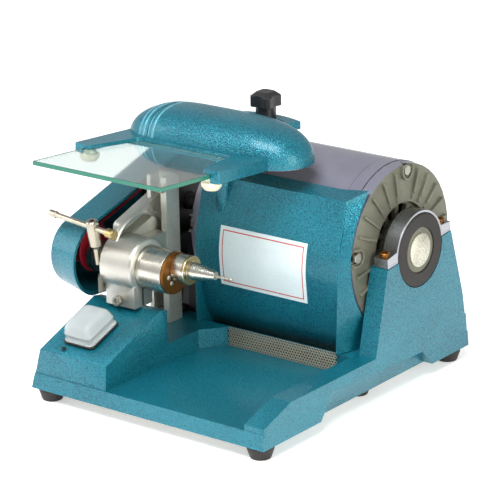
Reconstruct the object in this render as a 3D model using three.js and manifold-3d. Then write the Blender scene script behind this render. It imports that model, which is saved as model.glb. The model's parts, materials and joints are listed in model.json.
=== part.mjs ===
// A bench dental lathe: a motor in rubber rings drives a grinding spindle by a belt,
// under a lamp hood that carries a glass eye shield.
// Millimetres. X runs along the motor axis to the right, Y to the back, Z up.
// The front right corner of the base stands at x = 0, y = 0, and the feet at z = 0.
import * as THREE from 'three';
import { mergeVertices } from 'three/addons/utils/BufferGeometryUtils.js';
import { ConvexGeometry } from 'three/addons/geometries/ConvexGeometry.js';
import Module from 'manifold-3d';

const wasm = await Module();
wasm.setup();

// Clearances and cuts
const gap = 0.3;
const overrun = 2;
const bite = 0.6;
const turn = 2 * Math.PI;
const half = 1 / 2;

// Facets of round pieces
const fine = 40;
const medium = 28;
const coarse = 16;
const slight = 10;
const hexagon = 6;
const arcSteps = 2;

// The base casting
const base = {
  length: 244.4, depth: 293, underside: 11, trayTop: 24.5, wall: 5, sideLean: 7.7, frontLean: 3.5,
  consoleWidth: 79.9, consoleFrontTop: 45.5, consoleRise: 27.1, ridgeY: 74.5, ridgeDepth: 9.5,
  ridgeDrop: 1.6,
  deckStep: 16.5, shelfEndY: 125, grilleStep: 21, cornerRun: 16, rimWidth: 20, rimStep: 4.5, rimRampY: 37.5,
};
const arch = { frontY: 77, backY: 237, frontTopY: 94, backTopY: 223, frontTop: 32, backTop: 26, depth: 9 };
const plate = { thickness: 1.5 };
const foot = { topRadius: 11.5, bottomRadius: 8.5, lip: 2, inset: 12.2, backInset: 15, middleFromBack: 125,
  middleInset: 29 };
const grille = { width: 111, bottom: 25, top: 40, thickness: 1.2, frame: 3 };
const gland = { radius: 7, flange: 9.5, length: 14, flangeThickness: 3, bore: 3.2, fromLeft: 60,
  height: 27 };

// The motor and its rubber mounts
const bearing = { wall: 9, width: 11 };
const ring = { width: 16, wall: 12.45, beyondHub: 1.5, round: 1 };
const motor = {
  radius: 71.4, deckClear: 5.3, shellWall: 2, hubEnd: 103.5, faceFromHub: 18.5, rimDepth: 10, seamDepth: 13,
  faceInset: 4.9, bellWall: 4, recessWidth: 18.7, recessDepth: 5, hubWall: 2.3, shaftRadius: 8,
  airGap: 0.8, rotorRadius: 38, coreLength: 84, windingLength: 9, windingInset: 11.4, windingClear: 6,
  bolts: 4, boltInset: 6.4, boltRadius: 2.5, boltHead: 4.6, boltHeadHeight: 3.5, boltTurn: 83.8 / 360,
  ribPlaces: 24, ribWidth: 2, ribHeight: 1.6, ribEnd: 2.5, boltSink: 2, bossRadius: 8,
  windows: 12, windowShare: 0.68, windowFromHub: 3.2, windowFromWall: 2.5,
};
const strap = { thickness: 2, width: 14, earReach: 14, split: 5.8 / 360, screwRadius: 2.2, screwDepth: 10,
  headRadius: 4, headHeight: 3 };
const pedestal = { width: 18, frontFoot: 65.3, frontTop: 48, backTop: 45.9, backBulge: 64.1, backBulgeZ: 62,
  backFootInset: 1.5 };
const cap = { radius: 14.5, thickness: 1.2 };
const bracket = { width: 16, plate: 4, plateHeight: 55, plateFront: 69.9, floor: 5, frontFoot: 61.9,
  backFoot: 64.1 };

// The blue cover over the front of the motor
const cover = {
  standOff: 6.6, wall: 3, fromColumn: 17, rightX: 32, ledgeShare: 0.6782, cheek: 3, cheekBack: 29.9,
  wrapEnd: 62 / 360, cheekFoot: 23.9, bossRadius: 8.6, bossRise: 7.4, bossDrop: 32.6, seal: 1.2,
};
const label = { fromLeft: 23, fromRight: 32, above: 13.3, below: 38.7, thickness: 0.5 };

// The spindle in its eccentric sleeve, the split housing round it and the bracket behind
const sleeve = { fromColumn: 39, aboveDeck: 64.6, radius: 18.6, frontReach: 26.4, rearRadius: 13.5,
  bore: 10.4 };
const spindle = { offY: 4.1, offZ: 3.8, radius: 6, noseRadius: 12.4, noseLength: 13.9, noseReach: 2.7,
  socketRadius: 4.2, socketDepth: 10 };
const endCap = { radius: 18.2, hole: 7 };
const spindleBearing = { width: 8, frontInset: 1, rearInset: 9.5 };
const collet = { radius: 7.5, straight: 8, cone: 17, tipRadius: 3.2, tail: 8, bore: 1.5 };
const bur = { radius: 1.18, reach: 17, inside: 12 };
const housing = {
  length: 34.1, wall: 6, lip: 3, earAbove: 18.6, earDepth: 32.2, earFront: 20, earBack: 3, earInset: 3,
  slitFront: 9, slit: 2, padInset: 1, padAbove: 18.4, padBelow: 17.6,
};
const lipBlock = { reach: 12, front: 27, back: 8, below: 22.6, topBelow: 8.6 };
const clampScrew = { radius: 2.5, headRadius: 4.3, headHeight: 4, fromLeft: 16.7, below: 27.3, socket: 2.1,
  socketDepth: 2.5 };
const column = {
  fromLip: 1.5, width: 21, backY: 141, depth: 17, height: 127, clear: 0.9, grooveWall: 4, grooveEdge: 6,
  grooveDepth: 12, grooveFoot: 9,
};
const web = {
  reach: 5, front: 7, frontRise: 25.4, kneeBack: 2, kneeRise: 36.4, backRise: 45.4, drop: 5.6,
  discRadius: 36, discBack: 30, discBelow: 0.6, discDrop: 4, discWidth: 8,
};

// The tee handle that locks the sleeve
const handle = {
  neckClear: 1.3, footFront: 18, footRise: 0.4, lean: 9.7 / 360, postRadius: 5.25, neckRadius: 3.2,
  neckDown: 15, shoulder: 12, postTop: 40, barUp: 33.5, barRadius: 2.4, barLeft: 55, barRight: 27.4,
  capRadius: 4.2, capLength: 8.5, yaw: 8.5 / 360, socket: 2.4, socketDepth: 3,
};

// The belt drive, in its cover at the left end
const drive = { fromEnd: 6.9, lipClear: 8, coverDepth: 35, pulleyFromMouth: 10.5, pulleyWidth: 17,
  sleeveReach: 4.5 };
const pulley = { flange: 2, motorRadius: 41, spindleRadius: 11.5, flangeReach: 3.6 };
const belt = { width: 12, thickness: 2.6 };
const beltCover = {
  wall: 3, rearClear: 10.9, nose: 34, noseAbove: 16.4, noseBelow: 1.6, top: 19, topAbove: 25.9,
  foot: 8, footBelow: 32.6, chin: 27, chinBelow: 16.6, backNose: 21, backTop: 7, backTopAbove: 26.9,
  backChin: 14, backChinBelow: 23.6, round: 6, roundSteps: 3,
};

// The switch in the sloping console
const switchAt = { fromRight: 40.5, fromRidge: 41 };
const boot = { width: 30, length: 36, topWidth: 24, topLength: 30, height: 17, wall: 1.2, flange: 2,
  shoulder: 10, ridges: 3, ridgeStep: 6, ridgeRadius: 0.9 };
const gasket = { width: 32.5, length: 38.5, thickness: 1.5 };
const rocker = { width: 15, length: 20, pivot: 5, bottom: 3.4, endTop: 12.5, middleTop: 9.5, tilt: 5 / 360 };
const switchBody = { width: 19, length: 25, depth: 20, flangeWidth: 23, flangeLength: 29, bezelTop: 7,
  well: 1.8 };

// The lamp hood and the glass shield
const post = { fromCover: 19.4, beforeAxis: 64.9, radius: 5, depth: 12 };
const hood = {
  aboveBoss: 14.5, deckRise: 10.9, roofRise: 27.8, offX: 2.8, offY: 6, halfLength: 84.5, halfDepth: 35,
  wall: 3,
  grooves: 4, grooveFirst: 65.4, grooveStep: 5.3, grooveWidth: 2.2, grooveDepth: 1.1,
  bossRadius: 9, bossRise: 4.5, postRise: 23.5, domeSteps: 6,
};
const arms = {
  offX: 8.6, halfWidth: 76.8, tip: 92.5, tipWidth: 16, rootWidth: 27.6, ledge: 45, root: 18, back: 11,
  thickness: 10.5, sideWall: 8.8, tilt: 4 / 360, pivot: 31,
};
const glass = { front: 154.5, back: 40, thickness: 3.8, below: 3.4 };
const retainer = { radius: 8.5, height: 7, padRadius: 5.5, fromTip: 6, overArm: 3 };
const lug = { innerRadius: 34, radius: 77, rise: 8.5, thickness: 6.8, slot: 3.5, swing: 14 / 360,
  margin: 7 };
const saddle = { length: 44, width: 30, thickness: 4, pedestalRadius: 13 };
const knob = {
  reach: 62, stud: 3, studDown: 13.5, neckRadius: 8.9, neckHeight: 11, headHalf: 10.6, headHeight: 9,
  domeHeight: 3.8, domeHalf: 6.5, corner: 2.5, scallopRadius: 16, scallopDepth: 1.3,
};
const lamp = {
  radius: 6.5, halfLength: 62, capRadius: 7.2, capLength: 9, pinRadius: 2, pinLength: 4, back: 15,
  rise: 18.5,
  holderWidth: 10, holderDepth: 16, holderRise: 10.5,
};
const diffuser = { thickness: 1.2, rise: 8 };

// Places that follow from the sizes above, so that the pieces keep together.
base.deckTop = base.trayTop + base.deckStep;
base.rimFrontTop = base.trayTop + base.rimStep;
base.ridgeTop = base.consoleFrontTop + base.consoleRise;
base.consoleBackY = base.ridgeY + base.ridgeDepth;
base.consoleBackTop = base.ridgeTop - base.ridgeDrop;
base.consoleRight = base.length - base.consoleWidth;
base.grilleY = base.shelfEndY + base.grilleStep;
switchAt.x = base.consoleRight + switchAt.fromRight;
switchAt.y = base.ridgeY - switchAt.fromRidge;

bearing.radius = motor.shaftRadius + bearing.wall;
motor.hubRadius = bearing.radius + motor.hubWall;
motor.recessRadius = motor.hubRadius + motor.recessWidth;
motor.windowInner = motor.hubRadius + motor.windowFromHub;
motor.windowOuter = motor.recessRadius - motor.windowFromWall;
motor.faceRadius = motor.radius - motor.faceInset;
motor.boltCircle = motor.radius - motor.boltInset;
motor.windingRadius = motor.radius - motor.windingInset;
motor.windingInner = motor.rotorRadius + motor.windingClear;
motor.faceX = motor.hubEnd - motor.faceFromHub;
motor.rimX = motor.faceX - motor.rimDepth;
motor.shellLength = 2 * (motor.rimX - motor.seamDepth);
ring.radius = motor.hubRadius + ring.wall;
ring.outerX = motor.hubEnd + ring.beyondHub;
motor.centreX = -ring.outerX;
cover.radius = motor.radius + cover.standOff;

const axis = {
  y: column.backY + column.clear + cover.radius,
  z: base.deckTop + motor.radius + motor.deckClear,
};
pedestal.frontFootY = axis.y - pedestal.frontFoot;
pedestal.frontTopY = axis.y - pedestal.frontTop;
pedestal.backTopY = axis.y + pedestal.backTop;
pedestal.backBulgeY = axis.y + pedestal.backBulge;
pedestal.backFootY = base.depth - pedestal.backFootInset;
bracket.plateTop = base.deckTop + bracket.plateHeight;
bracket.plateFrontY = axis.y - bracket.plateFront;
bracket.frontFootY = axis.y - bracket.frontFoot;
bracket.backFootY = axis.y + bracket.backFoot;

const mouthX = base.length - drive.fromEnd;
const sleeveEnd = mouthX + drive.sleeveReach;
lipBlock.leftX = mouthX - drive.lipClear;
housing.leftX = lipBlock.leftX - lipBlock.reach;
housing.rightX = housing.leftX - housing.length;
housing.earLeftX = housing.leftX - housing.earInset;
column.leftX = housing.leftX - column.fromLip;
column.rightX = column.leftX - column.width;
column.grooveLeftX = column.leftX - column.grooveWall;
column.grooveRightX = column.rightX + column.grooveEdge;
column.frontY = column.backY - column.depth;
column.grooveBackY = column.frontY + column.grooveDepth;
column.top = base.deckTop + column.height;
housing.padRightX = column.rightX + housing.padInset;

sleeve.y = column.frontY - sleeve.fromColumn;
sleeve.z = base.deckTop + sleeve.aboveDeck;
sleeve.frontX = housing.rightX - sleeve.frontReach;
spindle.y = sleeve.y + spindle.offY;
spindle.z = sleeve.z + spindle.offZ;
spindle.noseX = sleeve.frontX - spindle.noseReach;
spindleBearing.frontX = sleeve.frontX + spindleBearing.frontInset;
spindleBearing.rearX = housing.leftX - spindleBearing.rearInset;
housing.radius = sleeve.radius + housing.wall;
housing.earBottom = sleeve.z - housing.earDepth;
housing.earTop = housing.earBottom + housing.earAbove;
housing.earFrontY = sleeve.y - housing.earFront;
housing.earBackY = sleeve.y + housing.earBack;
housing.slitY = sleeve.y - housing.slitFront;
housing.padTop = sleeve.z + housing.padAbove;
housing.padBottom = sleeve.z - housing.padBelow;
lipBlock.frontY = sleeve.y - lipBlock.front;
lipBlock.backY = sleeve.y - lipBlock.back;
lipBlock.bottom = sleeve.z - lipBlock.below;
lipBlock.top = sleeve.z - lipBlock.topBelow;
clampScrew.x = housing.leftX - clampScrew.fromLeft;
clampScrew.z = sleeve.z - clampScrew.below;
web.leftX = column.leftX + web.reach;
web.frontY = sleeve.y + web.front;
web.frontTop = sleeve.z + web.frontRise;
web.kneeY = column.frontY + web.kneeBack;
web.kneeTop = sleeve.z + web.kneeRise;
web.backTop = sleeve.z + web.backRise;
web.bottom = sleeve.z - web.drop;
web.discY = sleeve.y + web.discBack;
web.discZ = sleeve.z - web.discBelow;
web.discRightX = column.leftX - web.discWidth;
handle.x = (lipBlock.leftX + housing.leftX) * half;
handle.footY = sleeve.y - handle.footFront;
handle.footZ = sleeve.z + handle.footRise;
const sleeveStep = handle.x - handle.neckRadius - handle.neckClear;

pulley.rightX = mouthX + drive.pulleyFromMouth;
pulley.leftX = pulley.rightX + drive.pulleyWidth;
beltCover.rightX = mouthX;
beltCover.leftX = mouthX + drive.coverDepth;
beltCover.rearRadius = pulley.motorRadius + pulley.flangeReach + beltCover.rearClear;

cover.leftX = column.rightX - cover.fromColumn;
cover.ledgeTop = axis.z + cover.radius * cover.ledgeShare;
cover.cheekBackY = axis.y - cover.cheekBack;
cover.cheekFootY = axis.y - cover.cheekFoot;
cover.bossTop = cover.ledgeTop + cover.bossRise;
cover.bossBottom = cover.ledgeTop - cover.bossDrop;
label.leftX = cover.leftX - label.fromLeft;
label.rightX = cover.rightX + label.fromRight;
label.top = axis.z + label.above;
label.bottom = axis.z - label.below;

post.x = cover.leftX - post.fromCover;
post.y = axis.y - post.beforeAxis;
knob.y = post.y + knob.reach;
hood.bottom = cover.bossTop + hood.aboveBoss;
hood.deck = hood.bottom + hood.deckRise;
hood.top = hood.deck + hood.roofRise;
hood.centreX = post.x + hood.offX;
hood.centreY = post.y + hood.offY;
hood.grooveFirstX = hood.centreX + hood.grooveFirst;
hood.bossBottom = hood.bottom + hood.bossRise;
post.top = hood.bottom + hood.postRise;
lug.bottom = hood.bottom + lug.rise;
post.lugTop = lug.bottom + lug.thickness;
saddle.pedestalTop = lug.bottom - gap;
arms.centreX = hood.centreX + arms.offX;
arms.tipY = hood.centreY - arms.tip;
arms.ledgeY = hood.centreY - arms.ledge;
arms.rootY = hood.centreY - arms.root;
arms.backY = hood.centreY - arms.back;
arms.pivotY = hood.centreY - arms.pivot;
glass.frontY = hood.centreY - glass.front;
glass.backY = hood.centreY - glass.back;
lamp.y = hood.centreY + lamp.back;
lamp.z = hood.bottom + lamp.rise;
lamp.holderBottom = hood.bottom + lamp.holderRise;
diffuser.z = hood.bottom + diffuser.rise;

const colours = {
  hammered: { color: 0x1f7f93, roughness: 0.38, metalness: 0.35 },
  steel: { color: 0xc9c6c0, roughness: 0.25, metalness: 1 },
  aluminium: { color: 0xc4c4c0, roughness: 0.42, metalness: 1 },
  bell: { color: 0x7d807c, roughness: 0.6, metalness: 0.5 },
  shell: { color: 0x6f7278, roughness: 0.45, metalness: 0.3 },
  black: { color: 0x17181a, roughness: 0.55, metalness: 0 },
  rubber: { color: 0x141414, roughness: 0.85, metalness: 0 },
  bronze: { color: 0x8a5a24, roughness: 0.4, metalness: 0.9 },
  copper: { color: 0x9a5a34, roughness: 0.5, metalness: 0.6 },
  belt: { color: 0xa01824, roughness: 0.6, metalness: 0 },
  plate: { color: 0xd8dcdc, roughness: 0.5, metalness: 0.1 },
  glass: { color: 0xbfd8d2, roughness: 0.05, metalness: 0 },
  silicone: { color: 0xd9dcd4, roughness: 0.35, metalness: 0 },
  cream: { color: 0xdcd6c2, roughness: 0.5, metalness: 0 },
  chrome: { color: 0xd9dbdd, roughness: 0.12, metalness: 1 },
  zinc: { color: 0x9b9c97, roughness: 0.45, metalness: 0.9 },
};

// A closed solid from a three.js geometry, with its faces turned outward.
function solid(geometry) {
  const bare = (geometry.index ? geometry.toNonIndexed() : geometry).clone();
  for (const name of Object.keys(bare.attributes)) {
    if (name !== 'position') bare.deleteAttribute(name);
  }
  const merged = mergeVertices(bare);
  const place = merged.attributes.position;
  const corners = [new THREE.Vector3(), new THREE.Vector3(), new THREE.Vector3()];
  const faces = [];
  let volume = 0;
  for (let i = 0; i < merged.index.count; i += 3) {
    const face = [merged.index.getX(i), merged.index.getX(i + 1), merged.index.getX(i + 2)];
    if (new Set(face).size < face.length) continue;
    face.forEach((vertex, k) => corners[k].fromBufferAttribute(place, vertex));
    volume += corners[0].dot(corners[1].clone().cross(corners[2]));
    faces.push(face);
  }
  const triangles = faces.flatMap(([p, q, w]) => (volume > 0 ? [p, q, w] : [p, w, q]));
  return new wasm.Manifold(new wasm.Mesh({
    numProp: 3,
    vertProperties: new Float32Array(place.array),
    triVerts: new Uint32Array(triangles),
  }));
}

// A list of things made one after another from their number.
function times(count, make) {
  return Array.from({ length: count }, (unused, k) => make(k));
}

function join(...solids) {
  return solids.reduce((whole, next) => whole.add(next));
}

function cut(body, ...tools) {
  return tools.reduce((left, tool) => left.subtract(tool), body);
}

function box(x0, x1, y0, y1, z0, z1) {
  const geometry = new THREE.BoxGeometry(Math.abs(x1 - x0), Math.abs(y1 - y0), Math.abs(z1 - z0));
  geometry.translate((x0 + x1) * half, (y0 + y1) * half, (z0 + z1) * half);
  return solid(geometry);
}

// The convex block around a list of corner points.
function block(points) {
  return solid(new ConvexGeometry(points.map(([x, y, z]) => new THREE.Vector3(x, y, z))));
}

// X takes the place of Z, so that an outline drawn in Y and Z is pushed along X.
const alongX = new THREE.Matrix4().makeBasis(
  new THREE.Vector3(0, 1, 0), new THREE.Vector3(0, 0, 1), new THREE.Vector3(1, 0, 0));

function slabX(outline, x0, x1, steps = medium) {
  const geometry = new THREE.ExtrudeGeometry(outline, {
    depth: Math.abs(x1 - x0), bevelEnabled: false, curveSegments: steps,
  });
  geometry.applyMatrix4(alongX);
  geometry.translate(Math.min(x0, x1), 0, 0);
  return solid(geometry);
}

function slabZ(outline, z0, z1, steps = coarse) {
  const geometry = new THREE.ExtrudeGeometry(outline, {
    depth: z1 - z0, bevelEnabled: false, curveSegments: steps,
  });
  geometry.translate(0, 0, z0);
  return solid(geometry);
}

function polygon(points) {
  return new THREE.Shape(points.map(([a, b]) => new THREE.Vector2(a, b)));
}

function rodX(radius, x0, x1, y, z, steps = medium) {
  const geometry = new THREE.CylinderGeometry(radius, radius, Math.abs(x1 - x0), steps);
  geometry.rotateZ(turn / 4);
  geometry.translate((x0 + x1) * half, y, z);
  return solid(geometry);
}

function rodY(radius, y0, y1, x, z, steps = coarse) {
  const geometry = new THREE.CylinderGeometry(radius, radius, Math.abs(y1 - y0), steps);
  geometry.translate(x, (y0 + y1) * half, z);
  return solid(geometry);
}

function rodZ(radius, z0, z1, x, y, steps = coarse) {
  const geometry = new THREE.CylinderGeometry(radius, radius, Math.abs(z1 - z0), steps);
  geometry.rotateX(turn / 4);
  geometry.translate(x, y, (z0 + z1) * half);
  return solid(geometry);
}

// A turned piece: its profile lists places along the axis and radii there.
function turned(profile, steps) {
  const points = profile.map(([along, radius]) => new THREE.Vector2(radius, along));
  return new THREE.LatheGeometry(points, steps);
}

const latheToX = new THREE.Matrix4().makeBasis(
  new THREE.Vector3(0, 0, 1), new THREE.Vector3(1, 0, 0), new THREE.Vector3(0, 1, 0));

function turnedX(profile, y, z, steps = medium) {
  const geometry = turned(profile, steps);
  geometry.applyMatrix4(latheToX);
  geometry.translate(0, y, z);
  return solid(geometry);
}

function turnedZ(profile, x, y, steps = coarse) {
  const geometry = turned(profile, steps);
  geometry.rotateX(turn / 4);
  geometry.translate(x, y, 0);
  return solid(geometry);
}

function closed(profile) {
  return [...profile, profile[0]];
}

const lathe = new THREE.Group();

function node(name, shape, finish, parent = lathe) {
  const mesh = shape.getMesh();
  const geometry = new THREE.BufferGeometry();
  const places = new Float32Array(mesh.numVert * 3);
  for (let i = 0; i < mesh.numVert; i += 1) {
    for (let k = 0; k < 3; k += 1) places[i * 3 + k] = mesh.vertProperties[i * mesh.numProp + k];
  }
  geometry.setAttribute('position', new THREE.BufferAttribute(places, 3));
  geometry.setIndex(new THREE.BufferAttribute(new Uint32Array(mesh.triVerts), 1));
  geometry.computeVertexNormals();
  const piece = new THREE.Mesh(geometry, new THREE.MeshStandardMaterial(colours[finish]));
  piece.name = name;
  parent.add(piece);
  return piece;
}

// How far the left wall and the front wall lean in at a height.
function leanShare(z) {
  return Math.min(1, (z - base.underside) / (base.consoleFrontTop - base.underside));
}
function leftWall(z) {
  return -base.length + base.sideLean * leanShare(z);
}
function frontWall(z) {
  return base.frontLean * leanShare(z);
}

// The slope of the console, and the place of the switch on it.
const slopeStart = { y: frontWall(base.consoleFrontTop) + bite, z: base.consoleFrontTop };
const slopeRise = (base.ridgeTop - slopeStart.z) / (base.ridgeY - slopeStart.y);
const slopeAngle = Math.atan(slopeRise);
function slopeZ(y) {
  return slopeStart.z + (y - slopeStart.y) * slopeRise;
}

const glandX = leftWall(base.underside) + gland.fromLeft;

// Places along the motor axis on one side: side is 1 to the right and -1 to the left.
function onSide(side, reach) {
  return motor.centreX + side * reach;
}

// Shapes along the sloping split of the pedestals are drawn level and turned about the axis.
function onSplit(shape) {
  const angle = strap.split * 360;
  return shape.translate([0, -axis.y, -axis.z]).rotate([angle, 0, 0]).translate([0, axis.y, axis.z]);
}

function strapScrewReach() {
  return ring.radius + gap + strap.thickness + (strap.earReach - strap.thickness) * half;
}

function strapScrewHoles(side) {
  const middle = onSide(side, ring.outerX - gap - ring.width * half);
  return [-1, 1].map((way) => onSplit(rodZ(strap.screwRadius + gap, axis.z - strap.screwDepth - gap,
    axis.z + overrun, middle, axis.y + way * strapScrewReach(), slight)));
}

function levels(points, inset) {
  return points.flatMap(([y, z]) => [[leftWall(z) + inset, y, z], [-base.consoleRight - inset, y, z]]);
}

function consoleBlock(inset) {
  const front = frontWall(base.trayTop) + inset;
  const bottom = base.underside - overrun * Math.sign(inset);
  return block(levels([
    [front, bottom], [base.consoleBackY - inset, bottom],
    [slopeStart.y + inset, slopeStart.z - inset], [base.ridgeY, base.ridgeTop - inset],
    [base.consoleBackY - inset, base.consoleBackTop - inset],
  ], inset));
}

function deckOutline(inset) {
  return polygon([
    [-base.consoleRight - base.cornerRun, base.shelfEndY + inset - base.cornerRun],
    [-base.consoleRight + inset * half, base.shelfEndY + inset],
    [-base.consoleRight + base.cornerRun + inset, base.grilleY + inset],
    [-base.rimWidth * half - inset, base.grilleY + inset],
    [-base.rimWidth * half - inset, base.depth - base.frontLean - inset],
    [-base.consoleRight - base.cornerRun, base.depth - base.frontLean - inset],
  ]);
}

function baseCasting() {
  const corners = (x0, x1, y0, y1, z) => [[x0, y0, z], [x1, y0, z], [x1, y1, z], [x0, y1, z]];
  const tray = block([
    ...corners(-base.length, 0, 0, base.depth, base.underside),
    ...corners(leftWall(base.trayTop), -bite, frontWall(base.trayTop), base.depth - bite, base.trayTop),
  ]);
  const shelf = block([base.underside + bite, base.deckTop].flatMap((z) => [
    [leftWall(z), base.consoleBackY - bite, z], [-base.consoleRight, base.consoleBackY - bite, z],
    [-base.consoleRight, base.depth - frontWall(z), z], [leftWall(z), base.depth - frontWall(z), z],
  ]));
  const deck = slabZ(deckOutline(0), base.underside + bite, base.deckTop);
  const rim = slabX(polygon([
    [frontWall(base.trayTop), base.underside + bite], [frontWall(base.rimFrontTop), base.rimFrontTop],
    [base.rimRampY, base.deckTop], [base.depth - base.frontLean, base.deckTop],
    [base.depth - bite, base.underside + bite],
  ]), -base.rimWidth, -bite);
  const saddleRadius = ring.radius + gap;
  const slope = Math.tan(strap.split * turn);
  const right = slabX(polygon([
    [pedestal.frontFootY, base.deckTop - bite],
    [pedestal.frontTopY, axis.z + (pedestal.frontTopY - axis.y) * slope],
    [pedestal.backTopY, axis.z + (pedestal.backTopY - axis.y) * slope],
    [pedestal.backBulgeY, pedestal.backBulgeZ],
    [pedestal.backFootY - base.frontLean, base.deckTop - bite],
  ]), -pedestal.width, -bite);
  const whole = join(tray, shelf, deck, rim, consoleBlock(0), right);
  const rightHollow = -base.rimWidth - base.wall * half;
  const trayHollow = box(leftWall(base.underside) + base.wall + base.sideLean * half, rightHollow,
    base.wall + base.frontLean * half, base.depth - base.wall - base.frontLean, base.underside - overrun,
    base.trayTop - base.wall);
  const shelfHollow = box(leftWall(base.deckTop) + base.wall, -base.consoleRight - base.wall,
    base.consoleBackY - base.wall - bite, base.depth - base.wall - base.frontLean, base.underside - overrun,
    base.deckTop - base.wall);
  const deckHollow = box(-base.consoleRight - base.wall - bite, rightHollow,
    base.grilleY + base.wall, base.depth - base.wall - base.frontLean, base.underside - overrun,
    base.deckTop - base.wall);
  const grilleX = grilleCentre();
  const window = box(grilleX - grille.width * half + grille.frame,
    grilleX + grille.width * half - grille.frame,
    base.grilleY - overrun, base.grilleY + base.wall + overrun, grille.bottom + grille.frame,
    base.deckTop - base.wall - gap);
  const archCut = slabX(polygon([
    [arch.frontY, base.underside - overrun], [arch.frontY, base.underside], [arch.frontTopY, arch.frontTop],
    [arch.backTopY, arch.backTop], [arch.backY, base.underside], [arch.backY, base.underside - overrun],
  ]), -arch.depth, overrun);
  const switchHole = tilted(solid(new THREE.BoxGeometry(
    switchBody.width + 2 * gap, switchBody.length + 2 * gap, 2 * switchBody.depth)));
  const cordHole = rodY(gland.radius + gap, base.depth - base.wall - base.frontLean - overrun,
    base.depth + overrun,
    glandX, gland.height);
  const cordSeat = rodY(gland.flange + gap, base.depth - base.frontLean, base.depth + overrun,
    glandX, gland.height);
  return cut(whole, rodX(saddleRadius, -pedestal.width - overrun, overrun, axis.y, axis.z, fine),
    trayHollow, shelfHollow, deckHollow, consoleBlock(base.wall), window, archCut, switchHole,
    cordHole, cordSeat,
    ...strapScrewHoles(1));
}

function grilleCentre() {
  const left = -base.consoleRight + base.cornerRun;
  const right = -cover.rightX - cover.cheek * half;
  return (left + right) * half;
}

// Moves a shape drawn about the origin onto the console's slope, at the switch.
function tilted(shape) {
  const angle = slopeAngle * 360 / turn;
  return shape.rotate([angle, 0, 0]).translate([-switchAt.x, switchAt.y, slopeZ(switchAt.y)]);
}

function bottomPlate() {
  const edge = base.wall + gap;
  const low = base.underside + gap;
  return box(leftWall(base.underside) + edge + base.sideLean * half, -base.rimWidth - base.wall * half - gap,
    edge + base.frontLean * half, base.depth - edge - base.frontLean, low, low + plate.thickness);
}

function rubberFoot(x, y) {
  const top = base.underside - gap;
  return turnedZ([
    [0, 0], [0, foot.bottomRadius], [top - foot.lip, foot.topRadius], [top, foot.topRadius], [top, 0],
  ], x, y, coarse);
}

node('base_casting', baseCasting(), 'hammered');
node('bottom_plate', bottomPlate(), 'zinc');
const footPlaces = {
  front_right: [-foot.inset, foot.inset],
  front_left: [-base.length + foot.inset, foot.inset],
  middle_right: [-foot.middleInset, base.depth - foot.middleFromBack],
  middle_left: [-base.length + foot.middleInset, base.depth - foot.middleFromBack],
  rear_right: [-foot.inset, base.depth - foot.backInset],
  rear_left: [-base.length + foot.inset, base.depth - foot.backInset],
};
for (const [place, [x, y]] of Object.entries(footPlaces)) node(`foot_${place}`, rubberFoot(x, y), 'rubber');

const grilleX = grilleCentre();
node('vent_grille', box(grilleX - grille.width * half, grilleX + grille.width * half,
  base.grilleY - gap - grille.thickness, base.grilleY - gap, grille.bottom, grille.top), 'zinc');

function cordGland() {
  const seat = base.depth - base.frontLean + gap;
  const body = rodY(gland.radius, seat - gland.length, seat + bite, glandX, gland.height);
  const flange = rodY(gland.flange, seat, seat + gland.flangeThickness, glandX, gland.height);
  return cut(join(body, flange),
    rodY(gland.bore, seat - gland.length - overrun, seat + gland.flangeThickness + overrun, glandX,
      gland.height));
}
node('cord_gland', cordGland(), 'black');

function boltPlaces() {
  return times(motor.bolts, (k) => {
    const angle = (motor.boltTurn + k / motor.bolts) * turn;
    return [axis.y + motor.boltCircle * Math.cos(angle), axis.z + motor.boltCircle * Math.sin(angle)];
  });
}

function motorShell() {
  const end = motor.shellLength * half - gap;
  const inner = motor.radius - motor.shellWall;
  return turnedX(closed([
    [onSide(-1, end), motor.radius], [onSide(1, end), motor.radius], [onSide(1, end), inner],
    [onSide(-1, end), inner],
  ]), axis.y, axis.z, fine);
}

// The end bells: a dished turned wall, ribbed outside, with windows round the bearing's recess.
function bellWall(side) {
  const start = motor.shellLength * half;
  const inner = motor.radius - motor.bellWall;
  const innerFace = motor.faceX - motor.bellWall;
  const recess = motor.faceX - motor.recessDepth;
  const recessWall = motor.recessRadius + motor.bellWall;
  const seat = bearing.radius + gap;
  const seatStart = recess - motor.bellWall;
  const seatEnd = seatStart + bearing.width + gap;
  const shaftHole = motor.shaftRadius + gap;
  const profile = closed([
    [start, inner], [start, motor.radius], [motor.rimX, motor.radius], [motor.faceX, motor.faceRadius],
    [motor.faceX, motor.recessRadius], [recess, motor.recessRadius], [recess, motor.hubRadius],
    [motor.hubEnd, motor.hubRadius], [motor.hubEnd, shaftHole], [seatEnd, shaftHole], [seatEnd, seat],
    [seatStart, seat], [seatStart, recessWall], [innerFace, recessWall],
    [innerFace, motor.faceRadius - motor.bellWall], [motor.rimX - motor.bellWall, inner],
  ]);
  return turnedX(profile.map(([reach, radius]) => [onSide(side, reach), radius]), axis.y, axis.z, fine);
}

function bellRibs(side) {
  const length = motor.faceRadius - motor.recessRadius - 2 * motor.ribEnd;
  const rib = new THREE.BoxGeometry(motor.ribHeight + bite, length, motor.ribWidth);
  const reach = motor.faceX + (motor.ribHeight - bite) * half;
  const places = times(motor.ribPlaces, (k) => k).filter((k) => k % (motor.ribPlaces / motor.bolts));
  return places.map((k) => solid(rib).translate([0, (motor.faceRadius + motor.recessRadius) * half, 0])
    .rotate([(motor.boltTurn + k / motor.ribPlaces) * 360, 0, 0])
    .translate([onSide(side, reach), axis.y, axis.z]));
}

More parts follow.
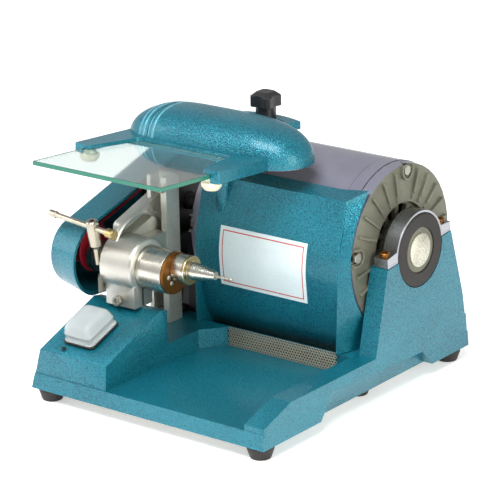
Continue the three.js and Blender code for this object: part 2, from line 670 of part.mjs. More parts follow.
function bellWindows(side) {
  const recess = motor.faceX - motor.recessDepth;
  return times(motor.windows, (k) => {
    const from = (k + half - motor.windowShare * half) / motor.windows * turn;
    const to = (k + half + motor.windowShare * half) / motor.windows * turn;
    const outline = new THREE.Shape();
    outline.absarc(axis.y, axis.z, motor.windowOuter, from, to, false);
    outline.absarc(axis.y, axis.z, motor.windowInner, to, from, true);
    return slabX(outline, onSide(side, recess - motor.bellWall - overrun), onSide(side, recess + overrun),
      arcSteps);
  });
}

function endBell(side) {
  const at = (reach) => onSide(side, motor.faceX + reach);
  const top = motor.ribHeight;
  const rim = rodX(motor.faceRadius, at(-overrun), at(overrun), axis.y, axis.z, fine);
  const pocket = 2 * (motor.boltHead + gap);
  const bosses = [];
  const holes = [];
  boltPlaces().forEach(([y, z], k) => {
    bosses.push(rodX(motor.bossRadius, at(-bite), at(top), y, z, slight).intersect(rim));
    holes.push(
      rodX(motor.boltRadius + gap, onSide(side, motor.shellLength * half - overrun), at(overrun), y, z,
        slight),
      rodX(motor.boltHead + gap, at(-motor.boltSink), at(top + overrun), y, z, slight),
      solid(new THREE.BoxGeometry(2 * (top + motor.boltSink), 2 * motor.bossRadius, pocket))
        .translate([0, motor.boltCircle + motor.bossRadius, 0])
        .rotate([(motor.boltTurn + k / motor.bolts) * 360, 0, 0]).translate([at(top), axis.y, axis.z]),
    );
  });
  return cut(join(bellWall(side), ...bellRibs(side), ...bosses), ...bellWindows(side), ...holes);
}

function throughBolt([y, z]) {
  const end = motor.faceX - motor.boltSink + gap;
  const shank = rodX(motor.boltRadius, onSide(-1, end + motor.boltHeadHeight), onSide(1, end + bite), y, z,
    slight);
  const head = rodX(motor.boltHead, onSide(1, end), onSide(1, end + motor.boltHeadHeight), y, z, hexagon);
  const nut = rodX(motor.boltHead, onSide(-1, end), onSide(-1, end + motor.boltHeadHeight), y, z, hexagon);
  return join(shank, head, nut);
}

function stator() {
  const bore = motor.rotorRadius + motor.airGap;
  const core = motor.coreLength * half;
  const outer = motor.radius - motor.shellWall - gap;
  const tip = core + motor.windingLength;
  const ringProfile = [
    [-core, bore], [-core, motor.windingInner], [-tip, motor.windingInner], [-tip, motor.windingRadius],
    [-core, motor.windingRadius], [-core, outer], [core, outer], [core, motor.windingRadius],
    [tip, motor.windingRadius], [tip, motor.windingInner], [core, motor.windingInner], [core, bore],
  ];
  const profile = closed(ringProfile).map(([reach, radius]) => [onSide(1, reach), radius]);
  const whole = turnedX(profile, axis.y, axis.z, medium);
  const notches = boltPlaces().map(([y, z]) => rodX(motor.boltRadius + gap, onSide(-1, tip), onSide(1, tip),
    y, z, slight));
  return cut(whole, ...notches);
}

// The rotor runs from the right hub to the motor pulley on the left.
function rotor() {
  const core = motor.coreLength * half;
  const rightEnd = onSide(1, motor.faceX - motor.recessDepth - motor.bellWall + bearing.width - gap);
  const shaft = rodX(motor.shaftRadius, -pulley.leftX, rightEnd, axis.y, axis.z, medium);
  const body = rodX(motor.rotorRadius, onSide(-1, core), onSide(1, core), axis.y, axis.z, medium);
  return join(shaft, body);
}

function bearingRing(x0, x1, outer, inner, y, z) {
  return turnedX(closed([[x0, inner], [x0, outer], [x1, outer], [x1, inner]]), y, z, medium);
}

function motorBearing(side) {
  const start = motor.faceX - motor.recessDepth - motor.bellWall;
  return bearingRing(onSide(side, start + gap), onSide(side, start + bearing.width), bearing.radius,
    motor.shaftRadius + gap, axis.y, axis.z);
}

function mountRing(side) {
  const outer = ring.outerX - gap;
  const far = outer - ring.width;
  const profile = closed([
    [far, motor.hubRadius + gap], [far, ring.radius - ring.round], [far + ring.round, ring.radius],
    [outer - ring.round, ring.radius], [outer, ring.radius - ring.round], [outer, motor.hubRadius + gap],
  ]);
  return turnedX(profile.map(([reach, radius]) => [onSide(side, reach), radius]), axis.y, axis.z, fine);
}

function clampStrap(side) {
  const inner = ring.radius + gap;
  const outer = inner + strap.thickness;
  const middle = onSide(side, ring.outerX - gap - ring.width * half);
  const x0 = middle - strap.width * half;
  const x1 = middle + strap.width * half;
  const band = turnedX(closed([[x0, inner], [x0, outer], [x1, outer], [x1, inner]]), axis.y, axis.z, fine);
  const below = box(x0 - overrun, x1 + overrun, axis.y - outer - overrun, axis.y + outer + overrun,
    axis.z - outer - overrun, axis.z + gap);
  const ears = [-1, 1].map((way) => box(x0, x1, axis.y + way * (inner + bite),
    axis.y + way * (inner + strap.earReach),
    axis.z + gap, axis.z + gap + strap.thickness));
  const holes = [-1, 1].map((way) => rodZ(strap.screwRadius + gap, axis.z - overrun,
    axis.z + overrun + strap.thickness,
    middle, axis.y + way * strapScrewReach(), slight));
  return onSplit(cut(join(cut(band, below), ...ears), ...holes));
}

function strapScrew(side, way) {
  const seat = axis.z + 2 * gap + strap.thickness;
  const middle = onSide(side, ring.outerX - gap - ring.width * half);
  return onSplit(turnedZ([
    [axis.z - strap.screwDepth, 0], [axis.z - strap.screwDepth, strap.screwRadius],
    [seat, strap.screwRadius],
    [seat, strap.headRadius], [seat + strap.headHeight, strap.headRadius], [seat + strap.headHeight, 0],
  ], middle, axis.y + way * strapScrewReach(), slight));
}

function hubCap() {
  const seat = motor.hubEnd + gap;
  return turnedX([
    [onSide(1, seat), 0], [onSide(1, seat), cap.radius],
    [onSide(1, seat + cap.thickness * half), cap.radius],
    [onSide(1, seat + cap.thickness), cap.radius - cap.thickness], [onSide(1, seat + cap.thickness), 0],
  ], axis.y, axis.z, medium);
}

// The black bracket behind the spindle column carries the left rubber ring and backs the belt cover.
function leftBracket() {
  const floor = base.deckTop + gap;
  const slope = Math.tan(strap.split * turn);
  const middle = onSide(-1, ring.outerX - gap - ring.width * half);
  const upright = slabX(polygon([
    [bracket.frontFootY, floor], [pedestal.frontTopY, axis.z + (pedestal.frontTopY - axis.y) * slope],
    [pedestal.backTopY, axis.z + (pedestal.backTopY - axis.y) * slope], [bracket.backFootY, floor],
  ]), middle - bracket.width * half, middle + bracket.width * half);
  const plateLeft = -beltCover.rightX + gap;
  const backing = box(plateLeft, plateLeft + bracket.plate, bracket.plateFrontY, bracket.backFootY, floor,
    bracket.plateTop);
  const flange = box(plateLeft, middle, bracket.plateFrontY, bracket.backFootY, floor,
    floor + bracket.floor);
  return cut(join(upright, backing, flange), ...strapScrewHoles(-1),
    rodX(ring.radius + gap, middle - bracket.width, middle + bracket.width, axis.y, axis.z, fine));
}

node('motor_shell', motorShell(), 'shell');
node('end_bell_right', endBell(1), 'bell');
node('end_bell_left', endBell(-1), 'bell');
node('stator', stator(), 'copper');
node('rotor', rotor(), 'steel');
node('motor_bearing_right', motorBearing(1), 'steel');
node('motor_bearing_left', motorBearing(-1), 'steel');
boltPlaces().forEach((spot, k) => node(`through_bolt_${k + 1}`, throughBolt(spot), 'zinc'));
node('mount_ring_right', mountRing(1), 'rubber');
node('mount_ring_left', mountRing(-1), 'rubber');
node('clamp_strap_right', clampStrap(1), 'chrome');
node('clamp_strap_left', clampStrap(-1), 'chrome');
node('strap_screw_front', strapScrew(1, -1), 'bronze');
node('strap_screw_rear', strapScrew(1, 1), 'bronze');
node('hub_cap', hubCap(), 'aluminium');
node('left_bracket', leftBracket(), 'black');

// The motor cover: a wrap around the front of the motor, a ledge on top and a cheek at each end.
function coverAngleAt(z, radius) {
  return Math.asin((z - axis.z) / radius);
}

function motorCover() {
  const x0 = -cover.leftX;
  const x1 = -cover.rightX;
  const inner = cover.radius - cover.wall;
  const topAngle = coverAngleAt(cover.ledgeTop, cover.radius);
  const start = turn * half - topAngle;
  const end = turn * half + cover.wrapEnd * turn;
  const wrap = new THREE.Shape();
  wrap.absarc(axis.y, axis.z, cover.radius, start, end, false);
  wrap.absarc(axis.y, axis.z, inner, end, turn * half - coverAngleAt(cover.ledgeTop - cover.wall, inner),
    true);
  const ledgeFront = axis.y - cover.radius * Math.cos(topAngle);
  const ledgeBack = axis.y - Math.sqrt((motor.radius + gap + cover.seal) ** 2
    - (cover.ledgeTop - axis.z) ** 2);
  const ledge = slabX(polygon([
    [ledgeFront + bite, cover.ledgeTop - cover.wall], [ledgeFront, cover.ledgeTop],
    [ledgeBack, cover.ledgeTop],
    [ledgeBack - cover.wall, cover.ledgeTop - cover.wall],
  ]), x0, x1);
  const foot = base.deckTop + gap;
  const frontY = axis.y - cover.radius;
  const cheekOutline = new THREE.Shape();
  cheekOutline.moveTo(frontY, foot);
  cheekOutline.lineTo(frontY, axis.z);
  cheekOutline.absarc(axis.y, axis.z, cover.radius, turn * half, start, true);
  cheekOutline.lineTo(cover.cheekBackY, cover.ledgeTop);
  cheekOutline.lineTo(cover.cheekFootY, axis.z);
  cheekOutline.lineTo(cover.cheekFootY, foot);
  const clear = rodX(motor.radius + gap + cover.seal, x0 - overrun, x1 + overrun, axis.y, axis.z, fine);
  const cheeks = [[x0, x0 + cover.cheek], [x1 - cover.cheek, x1]].map(
    ([a, b]) => slabX(cheekOutline, a, b, coarse));
  const skin = join(slabX(wrap, x0, x1, coarse), ledge, ...cheeks);
  const boss = rodZ(cover.bossRadius, cover.bossBottom, cover.bossTop, -post.x, post.y);
  const postHole = rodZ(post.radius + gap, cover.ledgeTop - post.depth, cover.bossTop + overrun, -post.x,
    post.y);
  return cut(join(skin, boss), clear, postHole);
}

function labelPlate() {
  const inner = cover.radius + gap;
  const outer = inner + label.thickness;
  const low = turn * half - coverAngleAt(label.bottom, inner);
  const high = turn * half - coverAngleAt(label.top, inner);
  const sheet = new THREE.Shape();
  sheet.absarc(axis.y, axis.z, outer, high, low, false);
  sheet.absarc(axis.y, axis.z, inner, low, high, true);
  return slabX(sheet, -label.leftX, -label.rightX, coarse);
}

node('motor_cover', motorCover(), 'hammered');
node('label_plate', labelPlate(), 'plate');

// The loop a flat belt makes round both pulleys, at a distance outside their rims.
function beltLoop(outside) {
  const away = { y: spindle.y - axis.y, z: spindle.z - axis.z };
  const facing = Math.atan2(away.z, away.y);
  const tangent = Math.acos((pulley.motorRadius - pulley.spindleRadius) / Math.hypot(away.y, away.z));
  const loop = new THREE.Shape();
  loop.absarc(axis.y, axis.z, pulley.motorRadius + outside, facing + tangent, facing - tangent + turn,
    false);
  loop.absarc(spindle.y, spindle.z, pulley.spindleRadius + outside, facing - tangent, facing + tangent,
    false);
  return loop;
}

function driveBelt() {
  const middle = -(pulley.rightX + pulley.leftX) * half;
  const x0 = middle - belt.width * half;
  const x1 = middle + belt.width * half;
  return cut(slabX(beltLoop(gap + belt.thickness), x0, x1, coarse),
    slabX(beltLoop(gap), x0 - overrun, x1 + overrun, coarse));
}

function flangedPulley(radius, bore, y, z, steps) {
  const rim = radius + pulley.flangeReach;
  return turnedX(closed([
    [-pulley.leftX, bore], [-pulley.leftX, rim], [-pulley.leftX + pulley.flange, rim],
    [-pulley.leftX + pulley.flange, radius], [-pulley.rightX - pulley.flange, radius],
    [-pulley.rightX - pulley.flange, rim], [-pulley.rightX, rim], [-pulley.rightX, bore],
  ]), y, z, steps);
}

// A convex outline moved inward by the same distance on every side.
function inset(points, distance) {
  const lines = points.map(([a, b], i) => {
    const [c, d] = points[(i + 1) % points.length];
    const length = Math.hypot(c - a, d - b);
    const normal = [-(d - b) / length, (c - a) / length];
    return { normal, reach: normal[0] * a + normal[1] * b + distance };
  });
  return lines.map((line, i) => {
    const before = lines[(i + lines.length - 1) % lines.length];
    const cross = before.normal[0] * line.normal[1] - before.normal[1] * line.normal[0];
    return [
      (before.reach * line.normal[1] - line.reach * before.normal[1]) / cross,
      (line.reach * before.normal[0] - before.reach * line.normal[0]) / cross,
    ];
  });
}

// The belt cover's outline, anticlockwise from its foot, with the nose corners given.
function coverOutline(foot, chin, noseBottom, noseTop, top) {
  const tangentAngle = ([y, z], way) => {
    const from = Math.atan2(z - axis.z, y - axis.y);
    return from + way * Math.acos(beltCover.rearRadius / Math.hypot(y - axis.y, z - axis.z));
  };
  const start = tangentAngle(foot, 1);
  const end = tangentAngle(top, -1);
  const sweep = (end - start + 2 * turn) % turn;
  const arc = times(coarse + 1, (k) => {
    const angle = start + sweep * k / coarse;
    const radius = beltCover.rearRadius;
    return [axis.y + radius * Math.cos(angle), axis.z + radius * Math.sin(angle)];
  });
  return [foot, ...arc, top, noseTop, noseBottom, chin];
}

function beltCoverShape() {
  const before = (y, z) => [sleeve.y - y, sleeve.z + z];
  const foot = before(beltCover.foot, -beltCover.footBelow);
  const mouth = coverOutline(foot, before(beltCover.chin, -beltCover.chinBelow),
    before(beltCover.nose, -beltCover.noseBelow), before(beltCover.nose, beltCover.noseAbove),
    before(beltCover.top, beltCover.topAbove));
  const back = coverOutline(foot, before(beltCover.backChin, -beltCover.backChinBelow),
    before(beltCover.backNose, -beltCover.noseBelow), before(beltCover.backNose, beltCover.noseAbove),
    before(beltCover.backTop, beltCover.backTopAbove));
  const at = (points, x) => points.map(([y, z]) => [x, y, z]);
  const round = beltCover.round;
  const steps = times(beltCover.roundSteps + 1, (k) => k / beltCover.roundSteps * turn / 4);
  const outer = block([...at(mouth, -beltCover.rightX), ...steps.flatMap((angle) => at(
    inset(back, round * (1 - Math.cos(angle))), -beltCover.leftX + round * (1 - Math.sin(angle))))]);
  const inner = block([...at(inset(mouth, beltCover.wall), -beltCover.rightX + overrun),
    ...at(inset(back, beltCover.wall), -beltCover.leftX + round),
    ...at(inset(back, round), -beltCover.leftX + beltCover.wall)]);
  return cut(outer, inner);
}

node('motor_pulley', flangedPulley(pulley.motorRadius, motor.shaftRadius + gap, axis.y, axis.z, medium),
  'black');
node('drive_belt', driveBelt(), 'belt');
node('spindle_pulley', flangedPulley(pulley.spindleRadius, spindle.radius + gap, spindle.y, spindle.z,
  coarse), 'steel');
node('belt_cover', beltCoverShape(), 'hammered');

// The aluminium bracket that holds the spindle housing.
function spindleBracket() {
  const foot = base.deckTop + gap;
  const pillar = box(-column.leftX, -column.rightX, column.frontY, column.backY, foot, column.top);
  const groove = box(-column.grooveLeftX, -column.grooveRightX, column.frontY - overrun, column.grooveBackY,
    foot + column.grooveFoot, column.top + overrun);
  const edge = (drop) => [
    [web.frontY, web.frontTop - drop], [web.kneeY, web.kneeTop - drop], [column.backY, web.backTop - drop],
  ];
  const sheet = slabX(polygon([[column.backY, web.bottom], ...edge(0).reverse(), [web.frontY, web.bottom]]),
    -web.leftX, -column.leftX + bite);
  const under = slabX(polygon([
    [column.backY, web.bottom], ...edge(web.discDrop).reverse(), [web.frontY, web.bottom],
  ]), -column.leftX - bite, -web.discRightX);
  const disc = rodX(web.discRadius, -column.leftX - bite, -web.discRightX, web.discY, web.discZ, medium);
  const clear = rodX(housing.radius + gap, -housing.leftX - gap, -housing.rightX, sleeve.y, sleeve.z,
    medium);
  const bore = rodX(sleeve.radius + gap, -web.leftX - overrun, -housing.rightX, sleeve.y, sleeve.z, medium);
  const earRoom = box(-housing.earLeftX - gap, -web.discRightX + overrun, housing.earFrontY,
    housing.earBackY + gap, housing.earBottom - overrun, housing.earTop + gap);
  return cut(join(cut(pillar, groove), sheet, disc.intersect(under)), clear, bore, earRoom);
}

// The split housing that clamps the sleeve, with the lug the tee handle screws into.
function spindleHousing() {
  const left = -housing.leftX;
  const right = -housing.rightX;
  const barrel = turnedX([
    [left, 0], [left, housing.radius - bite], [left + bite, housing.radius],
    [right - housing.lip, housing.radius],
    [right - housing.lip * (1 - Math.SQRT1_2), housing.radius - housing.lip * (1 - Math.SQRT1_2)],
    [right, housing.radius - housing.lip], [right, 0],
  ], sleeve.y, sleeve.z, fine);
  const ear = box(-housing.earLeftX, right, housing.earFrontY, housing.earBackY, housing.earBottom,
    housing.earTop);
  const pad = box(-web.discRightX + gap, -housing.padRightX, sleeve.y, column.frontY - gap,
    housing.padBottom,
    housing.padTop);
  const nub = box(-lipBlock.leftX, left + bite, lipBlock.frontY, lipBlock.backY, lipBlock.bottom,
    lipBlock.top);
  const slit = box(left - overrun, right + overrun, housing.slitY - housing.slit * half,
    housing.slitY + housing.slit * half, housing.earBottom - overrun, housing.earTop);
  const bore = rodX(sleeve.radius + gap, left - gap, right + overrun, sleeve.y, sleeve.z, fine);
  const rearBore = rodX(sleeve.rearRadius + gap, -sleeveEnd, left, sleeve.y, sleeve.z, medium);
  const mainBore = rodX(sleeve.radius + gap, -sleeveStep - gap, left, sleeve.y, sleeve.z, fine);
  const screwHole = rodY(clampScrew.radius + gap, housing.earFrontY - overrun, housing.earBackY - overrun,
    -clampScrew.x, clampScrew.z, slight);
  const neckHole = leaning(rodZ(handle.neckRadius + gap, -handle.neckDown - gap, handle.shoulder, 0, 0,
    coarse));
  return cut(join(barrel, ear, pad, nub), bore, mainBore, rearBore, slit, screwHole, neckHole);
}

// Places a shape drawn about an upright post at the origin on the leaning tee handle.
function leaning(shape) {
  return shape.rotate([handle.lean * 360, 0, 0]).translate([-handle.x, handle.footY, handle.footZ]);
}

function clampScrewShape() {
  const seat = housing.earFrontY - gap;
  const shank = rodY(clampScrew.radius, seat - bite, housing.earBackY - overrun - gap, -clampScrew.x,
    clampScrew.z, slight);
  const head = rodY(clampScrew.headRadius, seat - clampScrew.headHeight, seat, -clampScrew.x, clampScrew.z,
    coarse);
  const socket = rodY(clampScrew.socket, seat - clampScrew.headHeight - overrun,
    seat - clampScrew.headHeight + clampScrew.socketDepth, -clampScrew.x, clampScrew.z, hexagon);
  return cut(join(shank, head), socket);
}

// The sleeve is turned about its own axis and bored off centre for the spindle.
function spindleSleeve() {
  const left = -sleeveEnd;
  const right = -sleeve.frontX;
  const outer = turnedX([
    [left, 0], [left, sleeve.rearRadius], [-sleeveStep, sleeve.rearRadius],
    [-sleeveStep, sleeve.radius],
    [right, sleeve.radius], [right, 0],
  ], sleeve.y, sleeve.z, fine);
  const bearingEnd = -spindleBearing.rearX - spindleBearing.width - gap;
  return cut(outer, rodX(sleeve.bore, bearingEnd, right + overrun, spindle.y, spindle.z, medium),
    rodX(spindle.radius + gap, left - overrun, bearingEnd + overrun, spindle.y, spindle.z, medium));
}

function sleeveEndCap() {
  const left = -sleeve.frontX + gap;
  const right = -spindle.noseX;
  return cut(rodX(endCap.radius, left, right, sleeve.y, sleeve.z, medium),
    rodX(endCap.hole, left - overrun, right + overrun, spindle.y, spindle.z, coarse));
}

function spindleShaft() {
  const noseStart = -spindle.noseX + gap;
  const noseEnd = -spindle.noseX + spindle.noseLength;
  return turnedX([
    [-pulley.leftX, 0], [-pulley.leftX, spindle.radius], [noseStart, spindle.radius],
    [noseStart, spindle.noseRadius],
    [noseEnd, spindle.noseRadius], [noseEnd, spindle.socketRadius],
    [noseEnd - spindle.socketDepth, spindle.socketRadius],
    [noseEnd - spindle.socketDepth, 0],
  ], spindle.y, spindle.z, medium);
}

function colletShape() {
  const seat = -spindle.noseX + spindle.noseLength + gap;
  const tail = spindle.socketRadius - gap;
  const shoulder = seat + collet.straight;
  const tip = shoulder + collet.cone;
  return turnedX([
    [seat - collet.tail, 0], [seat - collet.tail, tail], [seat, tail], [seat, collet.radius],
    [shoulder, collet.radius],
    [tip, collet.tipRadius], [tip, collet.bore], [tip - bur.inside - gap, collet.bore],
    [tip - bur.inside - gap, 0],
  ], spindle.y, spindle.z, medium);
}

function burShape() {
  const tip = -spindle.noseX + spindle.noseLength + gap + collet.straight + collet.cone;
  return rodX(bur.radius, tip - bur.inside, tip + bur.reach, spindle.y, spindle.z, slight);
}

node('spindle_bracket', spindleBracket(), 'aluminium');
node('spindle_housing', spindleHousing(), 'steel');
node('clamp_screw', clampScrewShape(), 'chrome');
node('spindle_sleeve', spindleSleeve(), 'steel');
node('sleeve_end_cap', sleeveEndCap(), 'bronze');
node('spindle_shaft', spindleShaft(), 'steel');
for (const [place, x] of Object.entries({ front: spindleBearing.frontX, rear: spindleBearing.rearX })) {
  node(`spindle_bearing_${place}`, bearingRing(-x - spindleBearing.width, -x, sleeve.bore - gap,
    spindle.radius + gap, spindle.y, spindle.z), 'zinc');
}
node('collet', colletShape(), 'steel');
node('bur', burShape(), 'steel');

// The tee handle: a socketed post, and a bar that slides through it.
function handlePost() {
  const upright = turnedZ([
    [-handle.neckDown, 0], [-handle.neckDown, handle.neckRadius], [handle.shoulder, handle.neckRadius],
    [handle.shoulder, handle.postRadius], [handle.postTop, handle.postRadius], [handle.postTop, 0],
  ], 0, 0, coarse);
  const socket = rodZ(handle.socket, handle.postTop - handle.socketDepth, handle.postTop + overrun, 0, 0,
    hexagon);
  const through = rodX(handle.barRadius + gap, -handle.postRadius - overrun, handle.postRadius + overrun, 0,
    handle.barUp, coarse);
  return leaning(cut(upright, socket, through.rotate([0, 0, -handle.yaw * 360])));
}

function handleBar() {
  const cap = handle.barRight - handle.capLength;
  const bar = turnedX([
    [-handle.barLeft, 0], [-handle.barLeft, handle.barRadius], [cap, handle.barRadius],
    [cap, handle.capRadius],
    [handle.barRight, handle.capRadius], [handle.barRight, 0],
  ], 0, handle.barUp, coarse);
  return leaning(bar.rotate([0, 0, -handle.yaw * 360]));
}

node('handle_post', handlePost(), 'steel');
node('handle_bar', handleBar(), 'steel');

// The switch under its soft boot, drawn level and then laid on the console's slope.
function plinth(width, length, z0, z1) {
  return box(-width * half, width * half, -length * half, length * half, z0, z1);
}

function switchBodyShape() {
  const flangeTop = gap + gasket.thickness;
  const clear = plinth(rocker.width + 2 * gap, rocker.length + 4 * gap, switchBody.well,
    switchBody.bezelTop + overrun);
  return tilted(cut(join(
    plinth(switchBody.width, switchBody.length, -switchBody.depth, switchBody.bezelTop),
    plinth(switchBody.flangeWidth, switchBody.flangeLength, gap, flangeTop),
  ), clear));
}

function switchGasket() {
  return tilted(cut(plinth(gasket.width, gasket.length, gap, gap + gasket.thickness),
    plinth(switchBody.flangeWidth + 2 * gap, switchBody.flangeLength + 2 * gap, -overrun,
      gasket.thickness + overrun)));
}

function switchRocker() {
  const end = rocker.length * half;
  const outline = new THREE.Shape();
  outline.moveTo(-end + gap, rocker.bottom + gap);
  outline.lineTo(end - gap, rocker.bottom + gap);
  outline.lineTo(end - gap, rocker.endTop);
  outline.quadraticCurveTo(0, 2 * rocker.middleTop - rocker.endTop, -end + gap, rocker.endTop);
  const level = slabX(outline, -rocker.width * half, rocker.width * half, slight);
  return tilted(level.translate([0, 0, -rocker.pivot]).rotate([rocker.tilt * 360, 0, 0])
    .translate([0, 0, rocker.pivot]));
}

function bootBlock(inner) {
  const low = gap + gasket.thickness + gap;
  const top = low + boot.height - inner;
  const wide = (boot.width * half) - inner;
  const long = (boot.length * half) - inner;
  const narrow = (boot.topWidth * half) - inner;
  const short = (boot.topLength * half) - inner;
  const corners = (a, b, z) => [[a, b, z], [-a, b, z], [a, -b, z], [-a, -b, z]];
  return block([
    ...corners(wide, long - boot.flange, low - inner), ...corners(wide - boot.flange, long, low - inner),
    ...corners(wide - boot.flange, long - 2 * boot.flange, low + boot.shoulder),
    ...corners(wide - 2 * boot.flange, long - boot.flange, low + boot.shoulder),
    ...corners(narrow, short - boot.flange, top - boot.flange),
    ...corners(narrow - boot.flange, short, top - boot.flange),
    ...corners(narrow - boot.flange, short - boot.flange, top),
  ]);
}

function switchBoot() {
  const top = 2 * gap + gasket.thickness + boot.height;
  const reach = boot.topWidth * half - boot.flange;
  const ridges = times(boot.ridges, (k) => rodX(
    boot.ridgeRadius, -reach, reach, (k - (boot.ridges - 1) * half) * boot.ridgeStep, top, slight));
  return tilted(cut(join(bootBlock(0), ...ridges), bootBlock(boot.wall)));
}

node('switch_body', switchBodyShape(), 'black');
node('switch_gasket', switchGasket(), 'rubber');
node('switch_rocker', switchRocker(), 'black');
node('switch_boot', switchBoot(), 'silicone');

// The lamp hood: two quarter domes joined by a rounded roof, hollow below.
function hoodCapsule(inner, bottom) {
  const spread = hood.halfLength - hood.halfDepth;
  const rise = hood.top - hood.deck - inner;
  const depth = hood.halfDepth - inner;
  const around = times(coarse, (k) => k / coarse * turn);
  const levelsUp = times(hood.domeSteps + 1, (k) => k / hood.domeSteps * turn / 4);
  const hoops = (radius, z) => [-1, 1].flatMap((side) => around.map((angle) => [
    -hood.centreX + side * spread + radius * Math.cos(angle), hood.centreY + radius * Math.sin(angle), z,
  ]));
  return block([...hoops(depth, bottom), ...levelsUp.flatMap((angle) => hoops(
    Math.max(depth * Math.cos(angle), gap), hood.deck + rise * Math.sin(angle)))]);
}

// Moves a shape drawn level about the pivot line onto the tilted plane of the shield's arms.
function raised(shape) {
  return shape.rotate([-arms.tilt * 360, 0, 0]).translate([0, arms.pivotY, hood.deck]);
}

function shieldFrame() {
  const y = (place) => place - arms.pivotY;
  const left = -arms.centreX - arms.halfWidth;
  const right = -arms.centreX + arms.halfWidth;
  const sheet = slabZ(polygon([
    [right, y(arms.tipY)], [right, y(arms.rootY)], [right - arms.sideWall, y(arms.backY)],
    [left + arms.sideWall, y(arms.backY)], [left, y(arms.rootY)], [left, y(arms.tipY)],
    [left + arms.tipWidth, y(arms.tipY)], [left + arms.rootWidth, y(arms.ledgeY)],
    [right - arms.rootWidth, y(arms.ledgeY)], [right - arms.tipWidth, y(arms.tipY)],
  ]), -arms.thickness, 0);
  const pocket = box(left + arms.sideWall, right - arms.sideWall, y(arms.tipY) - overrun,
    y(glass.backY) + gap,
    -arms.thickness - overrun, -glass.below + gap);
  return raised(cut(sheet, pocket));
}

function arcBand(inner, outer, share) {
  const start = turn / 4 - share * turn;
  const end = turn / 4 + share * turn;
  const band = new THREE.Shape();
  band.absarc(-post.x, post.y, outer, start, end, false);
  band.absarc(-post.x, post.y, inner, end, start, true);
  return band;
}

function lampHood() {
  const lugTop = post.lugTop;
  const reach = knob.y - post.y;
  const slotShare = lug.swing + (knob.stud + 2 * gap) / reach / turn;
  const lugShare = slotShare + lug.margin / reach / turn;
  const lugPlate = slabZ(arcBand(lug.innerRadius, lug.radius, lugShare), lug.bottom, lugTop);
  const hollow = hoodCapsule(hood.wall, hood.bottom - overrun);
  const shell = cut(join(hoodCapsule(0, hood.bottom), shieldFrame(), lugPlate), hollow);
  const roof = hoodCapsule(hood.wall * half, hood.bottom);
  const boss = rodZ(hood.bossRadius, hood.bossBottom, hood.top, -post.x, post.y).intersect(roof);
  const holders = [-1, 1].map((side) => {
    const near = -hood.centreX + side * (lamp.halfLength + gap);
    return box(near, near + side * lamp.holderWidth, lamp.y - lamp.holderDepth * half,
      lamp.y + lamp.holderDepth * half, lamp.holderBottom, hood.top).intersect(roof);
  });
  const pins = rodX(lamp.pinRadius + gap, -hood.centreX - lamp.halfLength - lamp.pinLength - gap,
    -hood.centreX + lamp.halfLength + lamp.pinLength + gap, lamp.y, lamp.z, slight);
  const grooves = times(hood.grooves, (k) => {
    const x = -hood.grooveFirstX + k * hood.grooveStep;
    const slice = box(x - hood.grooveWidth * half, x + hood.grooveWidth * half,
      hood.centreY - hood.halfLength,
      hood.centreY + hood.halfLength, hood.deck + hood.grooveWidth, hood.top + overrun);
    return cut(slice, hoodCapsule(hood.grooveDepth, hood.bottom));
  });
  const postHole = rodZ(post.radius + gap, hood.bossBottom - overrun, post.top + gap, -post.x, post.y);
  const slot = slabZ(arcBand(reach - lug.slot, reach + lug.slot, slotShare), lug.bottom - overrun,
    lugTop + overrun);
  return cut(join(shell, boss, ...holders), pins, ...grooves, postHole, slot);
}

function glassPlate() {
  const side = arms.halfWidth - arms.sideWall - gap;
  return raised(box(-arms.centreX - side, -arms.centreX + side, glass.frontY - arms.pivotY,
    glass.backY - arms.pivotY,
    -glass.below - glass.thickness, -glass.below));
}

// A cushion under the glass at an arm's tip, held on the arm's under side.
function glassRetainer(side) {
  const wallInside = arms.halfWidth - arms.sideWall;
  const x = -arms.centreX + side * (wallInside - retainer.overArm);
  const y = arms.tipY + retainer.fromTip - arms.pivotY;
  const seat = -arms.thickness - gap;
  const dome = turnedZ([
    [seat - retainer.height, 0], [seat - retainer.height, retainer.padRadius],
    [seat - retainer.height * half, retainer.radius], [seat, retainer.radius], [seat, 0],
  ], x, y, coarse);
  const pad = rodZ(retainer.padRadius, seat - bite, -glass.below - glass.thickness - gap, x, y);
  const arm = box(-arms.centreX + side * (wallInside - gap),
    -arms.centreX + side * (arms.halfWidth + overrun),
    y - arms.tipWidth, y + arms.tipWidth, seat, 0);
  return raised(cut(join(dome, pad), arm));
}

function diffuserPlate() {
  const x0 = -hood.centreX - hood.halfLength;
  const slice = box(x0, x0 + 2 * hood.halfLength, hood.centreY - hood.halfDepth,
    hood.centreY + hood.halfDepth,
    diffuser.z, diffuser.z + diffuser.thickness);
  return cut(slice.intersect(hoodCapsule(hood.wall + gap, hood.bottom)),
    rodZ(hood.bossRadius + gap, hood.bottom, hood.top, -post.x, post.y));
}

function lampTube() {
  const end = lamp.halfLength;
  const side = (way) => [
    [way * (end + lamp.pinLength), 0], [way * (end + lamp.pinLength), lamp.pinRadius],
    [way * end, lamp.pinRadius],
    [way * end, lamp.capRadius], [way * (end - lamp.capLength), lamp.capRadius],
    [way * (end - lamp.capLength), lamp.radius],
  ];
  return turnedX([...side(-1), ...side(1).reverse()].map(([x, radius]) => [x - hood.centreX, radius]),
    lamp.y, lamp.z, coarse);
}

